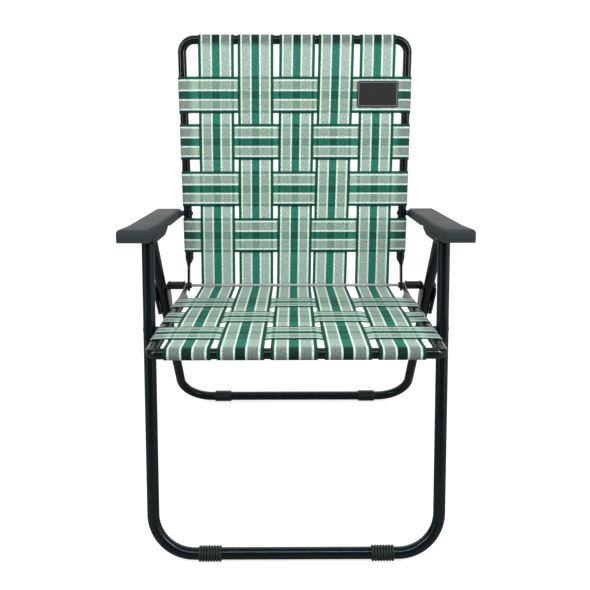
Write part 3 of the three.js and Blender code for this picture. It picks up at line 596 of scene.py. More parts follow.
def make_piece(name, bm, slot, body, nodes, smooth=SMOOTH_ANGLE):
    """Cleans a shape and makes it the object that takes the place of CAD nodes."""
    bmesh.ops.remove_doubles(bm, verts=bm.verts[:], dist=MERGE_REACH)
    bmesh.ops.recalc_face_normals(bm, faces=bm.faces[:])
    mesh = bpy.data.meshes.new(name)
    bm.to_mesh(mesh)
    bm.free()
    mesh.materials.append(FINISHES[slot])
    for polygon in mesh.polygons:
        polygon.use_smooth = True
    mesh.set_sharp_from_angle(angle=smooth)
    obj = bpy.data.objects.new(name, mesh)
    bpy.context.scene.collection.objects.link(obj)
    if body:
        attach(obj, body)
    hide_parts(*nodes)
    return obj


def points_of(geometry):
    """The points among what an operator gives back."""
    return [g for g in geometry if isinstance(g, bmesh.types.BMVert)]


def edges_between(points):
    """The edges whose two ends are both among the points, in a steady order."""
    members = set(points)
    found = (e for v in points for e in v.link_edges if set(e.verts) <= members)
    return list(dict.fromkeys(found))


def spin_profile(bm, center, profile, steps=SPIN_STEPS):
    """Spins an (x, radius) profile round the X line through a side-view point."""
    verts = [bm.verts.new(place(x, center.x, center.y + radius)) for x, radius in profile]
    edges = [bm.edges.new(pair) for pair in zip(verts, verts[1:])]
    bmesh.ops.spin(
        bm,
        geom=verts + edges,
        cent=place(0, center.x, center.y),
        axis=(1, 0, 0),
        dvec=(0, 0, 0),
        angle=2 * math.pi,
        steps=steps,
        use_merge=True,
    )


def round_rims(bm, rims, rounding, segments):
    bmesh.ops.bevel(
        bm, geom=rims, offset=rounding, segments=segments, profile=0.5, affect="EDGES", material=-1
    )


def plate(bm, points, x0, x1, rounding=0.0):
    """A plate cut to an outline of side-view points, from x0 to x1, with its rims rounded."""
    near = [bm.verts.new(place(x0, p.x, p.y)) for p in points]
    face = bm.faces.new(near)
    far = points_of(bmesh.ops.extrude_face_region(bm, geom=[face])["geom"])
    bmesh.ops.translate(bm, vec=(x1 - x0, 0, 0), verts=far)
    if rounding:
        round_rims(bm, edges_between(near) + edges_between(far), rounding, PLATE_ROUND_STEPS)
    return near, far


print("Finishes to choose from:", ", ".join(FINISHES))

# %% [markdown]
# Sweeping a tube
#
# A bent tube is a round section pushed along a line. A curve object with a bevel is the quick way, but
# its section stays round, and these tubes are pressed flat at their ends. So a ring is drawn once and
# extruded from station to station. Each station gives the ring's place and heading in a plane, its two
# half-sizes and its squareness. A U-shaped tube is one side's stations and their mirror image.

# %% Sweeping
TUBE_SIDES = 28
BEND_STEPS = 18


def sweep(bm, spot, stations):
    """Extrudes one ring through the stations and closes both ends."""
    ring = bmesh.ops.create_circle(bm, cap_ends=True, segments=TUBE_SIDES, radius=1.0)["verts"]
    turn = {v: math.atan2(v.co.y, v.co.x) for v in ring}

    def set_ring(s):
        power = 2 / s["square"]
        for v in ring:
            cos, sin = math.cos(turn[v]), math.sin(turn[v])
            side = s["a"] * math.copysign(abs(cos) ** power, cos)
            h = s["h"] + s["b"] * math.copysign(abs(sin) ** power, sin)
            v.co = spot(s["x"] - side * s["dv"], s["v"] + side * s["dx"], h)

    set_ring(stations[0])
    for s in stations[1:]:
        old = set(ring)
        ring = points_of(bmesh.ops.extrude_edge_only(bm, edges=edges_between(ring))["geom"])
        for v in ring:
            below = next(e.other_vert(v) for e in v.link_edges if e.other_vert(v) in old)
            turn[v] = turn[below]
        set_ring(s)
    bmesh.ops.contextual_create(bm, geom=edges_between(ring))


def station(x, v, heading, a, b, h=0.0, square=2.0):
    return {"x": x, "v": v, "dx": heading.x, "dv": heading.y, "a": a, "b": b, "h": h, "square": square}


def u_stations(end_half, low_v, bar_half, bar_v, bend, radius, h, rail_end):
    """Stations of a U-shaped tube: up one rail, round a bend, across, round the other bend and down."""
    corner, foot = Vector((bar_half, bar_v)), Vector((end_half, low_v))
    rail = (corner - foot).normalized()
    inward = Vector((-1.0, 0.0))
    turn = math.acos(rail.dot(inward))
    start = corner - rail * bend * math.tan(turn / 2)
    to_center = (inward - rail * rail.dot(inward)).normalized()
    center = start + to_center * bend
    right = rail_end(foot, rail)
    for i in range(BEND_STEPS + 1):
        angle = turn * i / BEND_STEPS
        heading = rail * math.cos(angle) + to_center * math.sin(angle)
        at = center + (rail * math.sin(angle) - to_center * math.cos(angle)) * bend
        right.append(station(at.x, at.y, heading, radius, radius, h))
    left = [{**s, "x": -s["x"], "dv": -s["dv"]} for s in reversed(right)]
    return right + left


print("A tube has", TUBE_SIDES, "sides and", BEND_STEPS, "steps to a bend")

# %% [markdown]
# The legs
#
# The chair stands on two wide U-shaped tubes whose free ends sit inside the armrests. The front leg is
# pressed a little flat where the seat's bolt passes through, so the bolt's head lies flush. The rear
# leg's ends are rounded over, because they turn inside the armrests.

# %% Legs
LEG_BEND = 0.075
LEG_END = 0.0105
DENT = 0.0004
DENT_LENGTH = 0.028
DENT_FLAT_SHARE = 0.3
DENT_SHARES = (-1, -0.8, -0.6, -0.4, 0, 0.4, 0.6, 0.8, 1)
END_SHARES = (0.15, 0.45, 0.7, 0.85, 0.95, 1.0)


def dented_end(foot, rail):
    """A cut end, then the shallow dent round the seat's bolt."""
    stations = [station(foot.x, foot.y, rail, LEG_RADIUS, LEG_RADIUS)]
    middle = foot.y - LEG_END - (ARM_PIVOT - SEAT_PIVOT).length
    for share in DENT_SHARES:
        rise = max(abs(share) - DENT_FLAT_SHARE, 0) / (1 - DENT_FLAT_SHARE)
        depth = DENT * (0.5 + 0.5 * math.cos(math.pi * rise))
        sizes = (LEG_RADIUS - depth, LEG_RADIUS + depth / 2)
        stations.append(
            station(foot.x, middle - share * DENT_LENGTH, rail, *sizes, 0.0, 2 + depth / DENT)
        )
    return stations


def rounded_end(foot, rail):
    """A half-round end, seen from the side."""
    stations = []
    for share in END_SHARES:
        past = LEG_RADIUS * math.sqrt(1 - share * share)
        stations.append(station(foot.x, foot.y + past, rail, LEG_RADIUS, LEG_RADIUS * share))
    return stations


def leg(body, foot, top, half, past, rail_end):
    up = (top - foot).normalized()
    off = Vector((-up.y, up.x))
    length = (top - foot).length

    def spot(x, v, h):
        p = foot + up * v + off * h
        return place(x, p.x, p.y)

    bm = bmesh.new()
    sweep(bm, spot, u_stations(half, length + past, half, 0.0, LEG_BEND, LEG_RADIUS, 0.0, rail_end))
    make_piece(f"{body}_tube", bm, "frame_paint", body, [f"{body}_frame"])
    print(body, "reaches", round(length, 4), "from foot to pivot")


leg("front_leg", FOOT, ARM_PIVOT, FRONT_LEG_X, LEG_END, dented_end)
leg("rear_leg", REAR_FOOT, REAR_PIVOT, REAR_LEG_X, 0.0, rounded_end)

# %% [markdown]
# The seat and back frames
#
# These are narrower U-shaped tubes, and their free ends are pressed flat so that one rod can pass
# through both. A tube that is pressed flat keeps its girth, so over the last 60 mm the rails get
# thinner in the front view and wider in the side view. The pressed ends step sideways, so that the
# seat's lie outside the back's.

# %% Seat and back frames
ROUND_START = 0.060
FLAT_START = 0.040
FLAT_THICK = 0.005
FLAT_HALF = 0.010
FLAT_SQUARE = 4.5
EYE_HALF = 0.0094
EYE_REACH = 0.0135
EYE_H = ROD_DROP - 0.0031
EYE_SHARES = (-0.98, -0.9, -0.75, -0.5, -0.25, 0.0)
CRANK = 0.0026
FLAT_STEPS = 3
PRESS_STEPS = 8
SEAT_BEND = 0.016
BACK_BEND = 0.026


def pressed_end(plane, flat_x):
    """A flat end round the rod's hole, then a smooth change to the round tube."""

    def build(foot, rail):
        stations = []
        up = Vector((0.0, 1.0))
        thin = FLAT_THICK / 2
        for share in EYE_SHARES:
            half = EYE_HALF * math.sqrt(1 - share * share)
            stations.append(station(flat_x, share * EYE_REACH, up, thin, half, EYE_H, FLAT_SQUARE))
        for i in range(1, FLAT_STEPS + 1):
            t = i / FLAT_STEPS
            half = between(EYE_HALF, FLAT_HALF, t)
            h = between(EYE_H, CRANK - TUBE_DEPTH, t)
            stations.append(station(flat_x, FLAT_START * t, up, thin, half, h, FLAT_SQUARE))
        round_x = foot.x + rail.x / rail.y * ROUND_START
        for i in range(1, PRESS_STEPS + 1):
            t = i / PRESS_STEPS
            change = eased(t)
            x = between(flat_x, round_x, change)
            v = between(FLAT_START, ROUND_START, t)
            sizes = (between(thin, plane.radius, change), between(FLAT_HALF, plane.radius, change))
            h = CRANK * (1 - change) - TUBE_DEPTH
            stations.append(station(x, v, up, *sizes, h, between(FLAT_SQUARE, 2.0, change)))
        return stations

    return build


def rail_frame(body, plane, bend, flat_x):
    rail_end = pressed_end(plane, flat_x)
    stations = u_stations(
        plane.low_half, 0.0, plane.bar_half, plane.bar, bend, plane.radius, -TUBE_DEPTH, rail_end
    )
    bm = bmesh.new()
    sweep(bm, plane.spot, stations)
    make_piece(f"{body}_tube", bm, "frame_paint", body, [f"{body}_frame"])
    print(body, "frame has", len(stations), "stations")


rail_frame("seat", SEAT, SEAT_BEND, SEAT_FLAT_X)
rail_frame("back", BACK, BACK_BEND, BACK_FLAT_X)

# %% [markdown]
# The rod and its rings
#
# One rod joins seat and back. On each side it carries a nut inside the back's end, a washer against the
# seat's end, a dark spacer tube and a second washer. A short spacer also sits on the seat's bolt,
# between rail and leg. A plain cylinder has knife-sharp rims, so each of them is half an outline with
# small slopes at its corners, spun round its line, and the rims catch the light as real ones do.

# %% Rod, nuts, washers and spacers
GAP = 0.00035
ROD_RADIUS = 0.0033
ROD_EDGE = 0.0005
WASHER = 0.0015
WASHER_RADIUS = 0.011
NUT_LENGTH = 0.004
NUT_RADIUS = 0.0065
ROD_SPACER_RADIUS = 0.0088
PIVOT_SPACER_RADIUS = 0.005
RING_EDGE = 0.0004
EDGE_TURN_SHARE = 0.3


def turned_piece(name, center, profile, slot, body, node, steps=SPIN_STEPS):
    bm = bmesh.new()
    spin_profile(bm, center, profile, steps)
    make_piece(name, bm, slot, body, [node])


def pin_profile(x0, x1, radius, edge):
    """A plain pin with a small slope round each end."""
    step = math.copysign(edge, x1 - x0)
    return [
        (x0, 0.0),
        (x0, radius - edge),
        (x0 + step, radius),
        (x1 - step, radius),
        (x1, radius - edge),
        (x1, 0.0),
    ]


def ring_profile(x0, x1, radius):
    """A collar on the rod: its hole, its two faces and its rounded rims."""
    step = math.copysign(RING_EDGE, x1 - x0)
    shoulder = radius - RING_EDGE * EDGE_TURN_SHARE
    return [
        (x0, ROD_RADIUS),
        (x0, radius - RING_EDGE),
        (x0 + step * EDGE_TURN_SHARE, shoulder),
        (x0 + step, radius),
        (x1 - step, radius),
        (x1 - step * EDGE_TURN_SHARE, shoulder),
        (x1, radius - RING_EDGE),
        (x1, ROD_RADIUS),
        (x0, ROD_RADIUS),
    ]


rod_end = LINK_INNER_X - GAP
rod = pin_profile(-rod_end, rod_end, ROD_RADIUS, ROD_EDGE)
turned_piece("rod", AXLE, rod, "zinc_steel", "seat", "cross_rod")
nut_outer = BACK_FLAT_X - FLAT_THICK / 2 - GAP
flat_outer = SEAT_FLAT_X + FLAT_THICK / 2 + GAP
spacer_start = flat_outer + WASHER + GAP
spacer_end = rod_end - WASHER - GAP
seat_rail_x = SEAT.half_at(SEAT.reach_of(SEAT_PIVOT))
pivot_spacer = (seat_rail_x + SEAT.radius + GAP, FRONT_LEG_X - LEG_RADIUS - GAP)
for side, s in SIDES:
    rings = (
        ("rod_nut", AXLE, nut_outer - NUT_LENGTH, nut_outer, NUT_RADIUS, "black_steel", "seat"),
        ("rail_washer", AXLE, flat_outer, flat_outer + WASHER, WASHER_RADIUS, "black_steel", "seat"),
        ("rod_spacer", AXLE, spacer_start, spacer_end, ROD_SPACER_RADIUS, "spacer_plastic", "seat"),
        ("link_washer", AXLE, spacer_end + GAP, rod_end, WASHER_RADIUS, "black_steel", "seat"),
        ("seat_pivot_spacer", SEAT_PIVOT, *pivot_spacer, PIVOT_SPACER_RADIUS, "spacer_plastic", "front_leg"),
    )
    for name, center, x0, x1, radius, slot, body in rings:
        profile = ring_profile(s * x0, s * x1, radius)
        turned_piece(f"{name}_turned_{side}", center, profile, slot, body, f"{name}_{side}")
    print("Rings on the", side, len(rings))

# %% [markdown]
# Bolts, studs and rivets
#
# A bolt's head is a low dome. The front leg's upper bolt and the back's stud are seen from inside the
# armrest, and the seat's bolt ends flush with the leg. The stud has a shoulder that keeps the back's
# rail off the armrest. The pins of the rear leg and the links have plain, slightly sloped ends.

# %% Bolts, studs and rivets
SHANK = 0.003
TIP_SHARE = 0.8
DOME = 0.0026
DOME_STEPS = 6
FLUSH_DOME = 0.0003
FLUSH_STEP = 0.0001
ARM_HEAD = 0.005
SEAT_HEAD = 0.0056
STUD_HEAD = 0.0046
ARM_BOLT_TAIL = 0.0032
SEAT_BOLT_TAIL = 0.0016
STUD_TAIL = 0.003
SHOULDER = 0.006
PIN_EDGE = 0.0004
PIN_START = 0.0004
PIN_END = 0.0014
LINK_PIN_RADIUS = 0.0032
REAR_BOLT_START = -0.0008
PIN_STEPS = 24
LANE_GAP = 0.0006

leg_lane_x = FRONT_LEG_X + LEG_RADIUS + LANE_GAP
back_rail_x = BACK.half_at(BACK.reach_of(BACK_PIVOT))


def head_profile(end_x, head_x, head_radius, thick):
    """A bolt: a bare end, a shank and a domed head."""
    way = math.copysign(1.0, head_x - end_x)
    profile = [
        (end_x, 0.0),
        (end_x, SHANK * TIP_SHARE),
        (end_x + way * SHANK * (1 - TIP_SHARE), SHANK),
        (head_x, SHANK),
        (head_x, head_radius),
    ]
    for i in range(1, DOME_STEPS + 1):
        angle = math.pi / 2 * i / DOME_STEPS
        profile.append((head_x + way * thick * math.sin(angle), head_radius * math.cos(angle)))
    return profile


def shouldered(profile, outer, inner):
    """Puts a wider collar on a bolt's shank."""
    collar = [(outer, SHANK), (outer, SHOULDER), (inner, SHOULDER), (inner, SHANK)]
    return profile[:3] + collar + profile[3:]


for side, s in SIDES:
    arm_bolt = head_profile(s * (leg_lane_x + ARM_BOLT_TAIL), s * (ARM_INNER_X - GAP), ARM_HEAD, DOME)
    seat_end = seat_rail_x - SEAT.radius - SEAT_BOLT_TAIL
    seat_head = FRONT_LEG_X + LEG_RADIUS - DENT + FLUSH_STEP
    seat_bolt = head_profile(s * seat_end, s * seat_head, SEAT_HEAD, FLUSH_DOME)
    stud_head = back_rail_x - BACK.radius - GAP
    stud = head_profile(s * (ARM_INNER_X + STUD_TAIL), s * stud_head, STUD_HEAD, DOME)
    stud = shouldered(stud, s * (ARM_INNER_X - GAP), s * (back_rail_x + BACK.radius + GAP))
    rear_ends = (s * (leg_lane_x + REAR_BOLT_START), s * (OUTER_X - GAP))
    link_ends = (s * (LINK_INNER_X + PIN_START), s * (LINK_OUTER_X + PIN_END))
    rear_bolt = pin_profile(*rear_ends, SHANK, PIN_EDGE)
    rivet = pin_profile(*link_ends, SHANK, PIN_EDGE)
    link_pin = pin_profile(*link_ends, LINK_PIN_RADIUS, PIN_EDGE)
    fasteners = (
        ("arm_pivot_bolt", ARM_PIVOT, arm_bolt, "black_steel", "armrests", SPIN_STEPS),
        ("seat_pivot_bolt", SEAT_PIVOT, seat_bolt, "black_steel", "front_leg", SPIN_STEPS),
        ("back_pivot_stud", BACK_PIVOT, stud, "black_steel", "armrests", SPIN_STEPS),
        ("rear_leg_pivot_bolt", REAR_PIVOT, rear_bolt, "black_steel", "armrests", PIN_STEPS),
        ("link_rivet", LINK_RIVET, rivet, "zinc_steel", "rear_leg", PIN_STEPS),
        ("link_pin", AXLE, link_pin, "zinc_steel", "links", PIN_STEPS),
    )
    for name, center, profile, slot, body, steps in fasteners:
        turned_piece(f"{name}_turned_{side}", center, profile, slot, body, f"{name}_{side}", steps)
    print("Bolts and pins on the", side, len(fasteners))

# %% [markdown]
# The foot sleeves
#
# Ribbed rubber sleeves grip the foot tubes. Each rib is a bulge with a sharp valley beside it. Rings
# could be stacked, but one outline with its ribs repeated by a loop spins into a sleeve without seams.
# The sleeve is worn flat below, where it stands on the floor: a plane at floor height cuts it off.

# %% Foot sleeves
SLEEVE_RADIUS = 0.0147
SLEEVE_LENGTH = 0.042
SLEEVE_STEPS = 40
RIBS = 8
RIB_DEPTH = 0.0030
RIB_STEPS = 6
RIB_POWER = 1.5
FRONT_SLEEVE_X = 0.1586
REAR_SLEEVE_X = 0.1874


def sleeve_profile(start):
    pitch = SLEEVE_LENGTH / RIBS
    bore = LEG_RADIUS + GAP
    profile = [(start, bore)]
    for i in range(RIBS):
        for j in range(RIB_STEPS + 1):
            angle = math.pi * j / RIB_STEPS
            radius = SLEEVE_RADIUS - RIB_DEPTH + RIB_DEPTH * math.sin(angle) ** RIB_POWER
            profile.append((start + (i + (1 - math.cos(angle)) / 2) * pitch, radius))
    return profile + [(start + SLEEVE_LENGTH, bore), (start, bore)]


def sleeve(which, side, center, x, body):
    bm = bmesh.new()
    spin_profile(bm, center, sleeve_profile(x - SLEEVE_LENGTH / 2), SLEEVE_STEPS)
    floor_point = place(0, center.x, -FLOOR_TO_TUBE)
    everything = bm.verts[:] + bm.edges[:] + bm.faces[:]
    cut = bmesh.ops.bisect_plane(
        bm, geom=everything, plane_co=floor_point, plane_no=(0, 0, -1), clear_outer=True
    )
    loose = [g for g in cut["geom_cut"] if isinstance(g, bmesh.types.BMEdge)]
    bmesh.ops.holes_fill(bm, edges=loose)
    make_piece(f"{which}_sleeve_ribbed_{side}", bm, "foot_rubber", body, [f"{which}_foot_sleeve_{side}"])


for side, s in SIDES:
    sleeve("front", side, FOOT, s * FRONT_SLEEVE_X, "front_leg")
    sleeve("rear", side, REAR_FOOT, s * REAR_SLEEVE_X, "rear_leg")
print("Sleeves with", RIBS, "ribs each")

# %% [markdown]
# The armrest's places
#
# Each armrest hangs over the leg ends, a little steeper than the line from its front bolt to the back's
# stud. Its sizes are kept as reaches along the top and heights off its front bolt, so the outline can
# be written as level and upright lines and then be laid on the slope.

# %% Places on an armrest
ARM_TOP = 0.0225
STUD_BELOW_TOP = 0.010
ARM_BOTTOM = ARM_TOP - 0.021
ARM_REAR_BOTTOM = ARM_TOP - 0.017
FLANGE_LOW = ARM_TOP - 0.0272
ARM_FRONT = -0.046
ARM_PAST_STUD = 0.008
QUARTER_STEPS = 6

arm_line = BACK_PIVOT - ARM_PIVOT
arm_lean = math.asin((ARM_TOP - STUD_BELOW_TOP) / arm_line.length)
ARM_ALONG = Matrix.Rotation(-arm_lean, 2) @ arm_line.normalized()
ARM_UP = Vector((-ARM_ALONG.y, ARM_ALONG.x))
ARM_REAR = arm_line.dot(ARM_ALONG) + ARM_PAST_STUD


def arm_spot(a, b):
    """The side-view point at a reach along the armrest and a height off its front bolt."""
    return ARM_PIVOT + ARM_ALONG * a + ARM_UP * b


def arm_place(point):
    """The reach and height of a point of the chair on an armrest."""
    side_view = Vector((point.y - FOOT_Y, point.z - FLOOR_TO_TUBE)) - ARM_PIVOT
    return side_view.dot(ARM_ALONG), side_view.dot(ARM_UP)


def quarter(a, b, from_a, from_b, radius):
    """A quarter round about a middle, from one heading to the next."""
    points = []
    for i in range(QUARTER_STEPS + 1):
        angle = math.pi / 2 * i / QUARTER_STEPS
        along = from_a * math.cos(angle) - from_b * math.sin(angle)
        up = from_a * math.sin(angle) + from_b * math.cos(angle)
        points.append(arm_spot(a + radius * along, b + radius * up))
    return points


print("Armrest leans", round(math.degrees(arm_lean), 2), "degrees off the line of its pivots")

# %% [markdown]
# The armrest's outline
#
# The armrest is a moulded tray, open below. Seen from the side it has a level top with a raised brow
# and a slight belly at the front, a round nose at the rear, and a lower edge that steps up behind the
# flange. Only the round stretches need more than their end points, so they come from a formula.

# %% Tray outline
ARM_WALL = 0.0026
ARM_PLATE = 0.003
ARM_ROUND = 0.0072
ARM_ROUND_STEPS = 6
NOSE = 0.009
BROW = 0.0075
BROW_RISE = 0.0016
BROW_START = 0.030
BELLY = 0.0026
BELLY_MIDDLE_SHARE = 0.45
BELLY_SHARES = (0.35, 0.60, 0.85)
STEP_START, STEP_END = 0.088, 0.118
LOW_LINE_POINTS = 4


def low_line(start, end, lift=0.0):
    """The lower edge, which steps up behind the flange."""
    low, high = ARM_BOTTOM + lift, ARM_REAR_BOTTOM + lift
    return [arm_spot(start, low), arm_spot(STEP_START, low), arm_spot(STEP_END, high), arm_spot(end, high)]


def tray_outline():
    """The lower edge, the round nose, the top, the brow and the belly below it."""
    outline = low_line(ARM_FRONT, ARM_REAR)
    outline += quarter(ARM_REAR - NOSE, ARM_TOP - NOSE, 1, 0, NOSE)
    outline.append(arm_spot(BROW_START, ARM_TOP))
    outline += quarter(ARM_FRONT + BELLY / 2 + BROW, ARM_TOP + BROW_RISE - BROW, 0, 1, BROW)
    for share in BELLY_SHARES:
        bulge = BELLY * (share - BELLY_MIDDLE_SHARE) ** 2 * 2
        outline.append(arm_spot(ARM_FRONT + bulge, between(ARM_TOP - BROW, ARM_BOTTOM, share)))
    return outline


print("Tray outline has", len(tray_outline()), "points")

# %% [markdown]
# Moulding the tray
#
# First the block's upper rims are rounded. Then the underside is set in by the wall's thickness and
# pushed up to the plate, as a mould's core leaves it. A boolean cut would do the same, but inset and
# extrude keep the wall even and the mesh clean. Last, the inner wall gets its notch, and the points
# near the front are moved to flare the outer side and to draw the inner corner in.

# %% Tray steps
FLARE = 0.0032
FLARE_START = 0.040
CORNER = 0.0075
CORNER_START = -0.020
NOTCH_TOP, NOTCH_END, NOTCH_RISE = 0.133, 0.152, 0.004
FACES_DOWN = 0.9
ON_LINE = 1e-4


def hollow_out(bm):
    """Sets the underside in by a wall and pushes it up to the plate, as a mould's core does."""
    down = Vector((0, -ARM_UP.x, -ARM_UP.y))
    facing_down = [f for f in bm.faces if f.normal.dot(down) > FACES_DOWN]
    under = [f for f in facing_down if arm_place(f.calc_center_median())[1] < ARM_TOP / 2]
    under = sorted(under, key=lambda f: -f.calc_area())[: LOW_LINE_POINTS - 1]
    bmesh.ops.inset_region(bm, faces=under, thickness=ARM_WALL, use_even_offset=True)
    grown = bmesh.ops.extrude_face_region(bm, geom=under)["geom"]
    for v in points_of(grown):
        lift = ARM_UP * (ARM_TOP - ARM_PLATE - arm_place(v.co)[1])
        v.co += Vector((0, lift.x, lift.y))
    left_behind = [f for f in under if f.is_valid and f not in grown]
    bmesh.ops.delete(bm, geom=left_behind, context="FACES_ONLY")


def notch_inner_wall(bm):
    """Splits the tray at the notch's ends and top, and lifts the inner wall's edge there."""
    for a in (STEP_END, NOTCH_TOP, NOTCH_END):
        at = arm_spot(a, 0)
        everything = bm.verts[:] + bm.edges[:] + bm.faces[:]
        across = (0, ARM_ALONG.x, ARM_ALONG.y)
        bmesh.ops.bisect_plane(bm, geom=everything, plane_co=place(0, at.x, at.y), plane_no=across)
    for v in bm.verts:
        a, b = arm_place(v.co)
        at_top = abs(a - NOTCH_TOP) < ON_LINE
        at_edge = abs(b - ARM_REAR_BOTTOM) < ON_LINE
        if at_top and at_edge and abs(v.co.x) < ARM_INNER_X + ARM_WALL + ON_LINE:
            v.co += Vector((0, ARM_UP.x, ARM_UP.y)) * NOTCH_RISE


def shape_front(bm, s):
    """Flares the outer side towards the front and draws the inner front corner in to a wide round."""
    for v in bm.verts:
        a = arm_place(v.co)[0]
        outward = (abs(v.co.x) - ARM_INNER_X) / (OUTER_X - ARM_INNER_X)
        flare = FLARE * outward * eased(share_of(a, FLARE_START, ARM_FRONT))
        turn = share_of(a, CORNER_START, ARM_FRONT)
        corner = CORNER * (1 - outward) * (1 - math.sqrt(1 - turn * turn))
        v.co.x += s * (flare + corner)


def tray(bm, s):
    near, far = plate(bm, tray_outline(), s * ARM_INNER_X, s * OUTER_X)
    bmesh.ops.recalc_face_normals(bm, faces=bm.faces[:])
    rims = []
    for loop in (near, far):
        ring = list(zip(loop, loop[1:] + loop[:1]))[LOW_LINE_POINTS - 1 :]
        rims += [next(e for e in v.link_edges if e.other_vert(v) is w) for v, w in ring]
    round_rims(bm, rims, ARM_ROUND, ARM_ROUND_STEPS)
    bmesh.ops.recalc_face_normals(bm, faces=bm.faces[:])
    hollow_out(bm)
    notch_inner_wall(bm)
    shape_front(bm, s)


print("Inner wall's notch rises", NOTCH_RISE, "m")

# %% [markdown]
# The armrest's flange, rib and lugs
#
# Inside the tray a lengthwise rib parts the front leg's lane from the rear leg's. A flange hangs below
# the inner wall round the front bolt, and two lugs hang down round the rear leg's bolt. Each is a plate
# that overlaps the wall it grows from by a hair, so that no two faces lie in one plane.

# %% Armrests
HAIR = 0.00003
RIB_LIFT = 0.0004
ARM_RIB = 0.0024
ARM_EDGE = 0.0005
FLANGE_START, FLANGE_SLOPE, FLANGE_END = -0.024, -0.012, 0.093
LUG_HALF, LUG_FOOT_HALF = 0.028, 0.014


def flange_outline():
    return [
        arm_spot(FLANGE_START, ARM_BOTTOM + ARM_PLATE),
        arm_spot(FLANGE_START, ARM_BOTTOM),
        arm_spot(FLANGE_SLOPE, FLANGE_LOW),
        arm_spot(FLANGE_END, FLANGE_LOW),
        arm_spot(STEP_END, ARM_BOTTOM),
        arm_spot(NOTCH_TOP, ARM_REAR_BOTTOM + ARM_PLATE),
        arm_spot(STEP_START, ARM_REAR_BOTTOM + ARM_PLATE),
    ]


def rib_outline():
    front, rear, ceiling = ARM_FRONT + ARM_WALL, ARM_REAR - ARM_WALL, ARM_TOP - ARM_PLATE
    return low_line(front, rear, RIB_LIFT) + [
        arm_spot(rear, ceiling - NOSE / 2),
        arm_spot(rear - NOSE / 2, ceiling + HAIR),
        arm_spot(front + NOSE / 2, ceiling + HAIR),
        arm_spot(front, ceiling - NOSE / 2),
    ]


def lug_outline():
    bolt = (REAR_PIVOT - ARM_PIVOT).dot(ARM_ALONG)
    return [
        arm_spot(bolt - LUG_HALF, ARM_REAR_BOTTOM + ARM_PLATE),
        arm_spot(bolt - LUG_HALF, ARM_REAR_BOTTOM),
        arm_spot(bolt - LUG_FOOT_HALF, FLANGE_LOW),
        arm_spot(bolt + LUG_FOOT_HALF, FLANGE_LOW),
        arm_spot(bolt + LUG_HALF, ARM_REAR_BOTTOM),
        arm_spot(bolt + LUG_HALF, ARM_REAR_BOTTOM + ARM_PLATE),
    ]


for side, s in SIDES:
    bm = bmesh.new()
    tray(bm, s)
    inner_lug = leg_lane_x + HAIR
    plate(bm, flange_outline(), s * (ARM_INNER_X - HAIR), s * (ARM_INNER_X + ARM_WALL), ARM_EDGE)
    plate(bm, rib_outline(), s * leg_lane_x, s * (leg_lane_x + ARM_RIB))
    plate(bm, lug_outline(), s * inner_lug, s * (inner_lug + ARM_RIB), ARM_EDGE)
    plate(bm, lug_outline(), s * (OUTER_X - ARM_WALL), s * (OUTER_X + HAIR), ARM_EDGE)
    armrest = make_piece(f"armrest_moulded_{side}", bm, "arm_plastic", "armrests", [f"armrest_{side}"])
    print("Armrest", side, "has", len(armrest.data.polygons), "faces")

# %% [markdown]
# The links
#
# Beside each rear leg a channel of sheet steel runs from the rod down to a rivet in the leg. It could
# be one folded sheet, but its two cheeks differ in thickness, so it is made of three plates: two cheeks
# with a round upper end and a foot cut square, and a web that joins them behind the leg.

# %% Links
LINK_PLATE = 0.0018
OUTER_PLATE = 0.0045
LINK_EDGE = 0.0005
LINK_FRONT, LINK_BACK = -0.0145, 0.0235
LINK_FOOT = -0.0145
LINK_SHOULDER = 0.030
LINK_HEEL, LINK_TOE = 0.0110, -0.001
TOE_SLOPE_END = 0.001
LINK_END_STEPS = 20
WEB_EDGE = 0.0003
WEB_START, WEB_STOP = 0.020, 0.012
WEB_GAP = 0.0005

link_up = (REAR_PIVOT - REAR_FOOT).normalized()
link_off = Vector((link_up.y, -link_up.x))
link_length = (AXLE - LINK_RIVET).dot(link_up)


def link_spot(v, h):
    """The side-view point at a reach up the link from its rivet and a height off the leg's line."""
    return LINK_RIVET + link_up * v + link_off * h


def cheek_outline():
    half_width = (LINK_BACK - LINK_FRONT) / 2
    points = [
        link_spot(LINK_SHOULDER, LINK_BACK),
        link_spot(LINK_FOOT, LINK_HEEL),
        link_spot(LINK_FOOT, LINK_TOE),
        link_spot(TOE_SLOPE_END, LINK_FRONT),
    ]
    for i in range(LINK_END_STEPS + 1):
        angle = math.pi * (i / LINK_END_STEPS - 0.5)
        v = link_length + half_width * math.cos(angle)
        points.append(link_spot(v, LINK_FRONT + half_width + half_width * math.sin(angle)))
    return points


web_low = LEG_RADIUS + WEB_GAP
web_high = web_low + LINK_PLATE
web_top = link_length - WEB_STOP
web_outline = [
    link_spot(WEB_START, web_low),
    link_spot(web_top, web_low),
    link_spot(web_top, web_high),
    link_spot(WEB_START, web_high),
]
half_plate = LINK_PLATE / 2
for side, s in SIDES:
    bm = bmesh.new()
    plate(bm, cheek_outline(), s * LINK_INNER_X, s * (LINK_INNER_X + LINK_PLATE), LINK_EDGE)
    plate(bm, cheek_outline(), s * LINK_OUTER_X, s * (LINK_OUTER_X + OUTER_PLATE), LINK_EDGE)
    plate(bm, web_outline, s * (LINK_INNER_X + half_plate), s * (LINK_OUTER_X + half_plate), WEB_EDGE)
    make_piece(f"link_channel_{side}", bm, "frame_paint", "links", [f"link_{side}"])
print("Links reach", round(link_length, 4), "from rivet to rod")

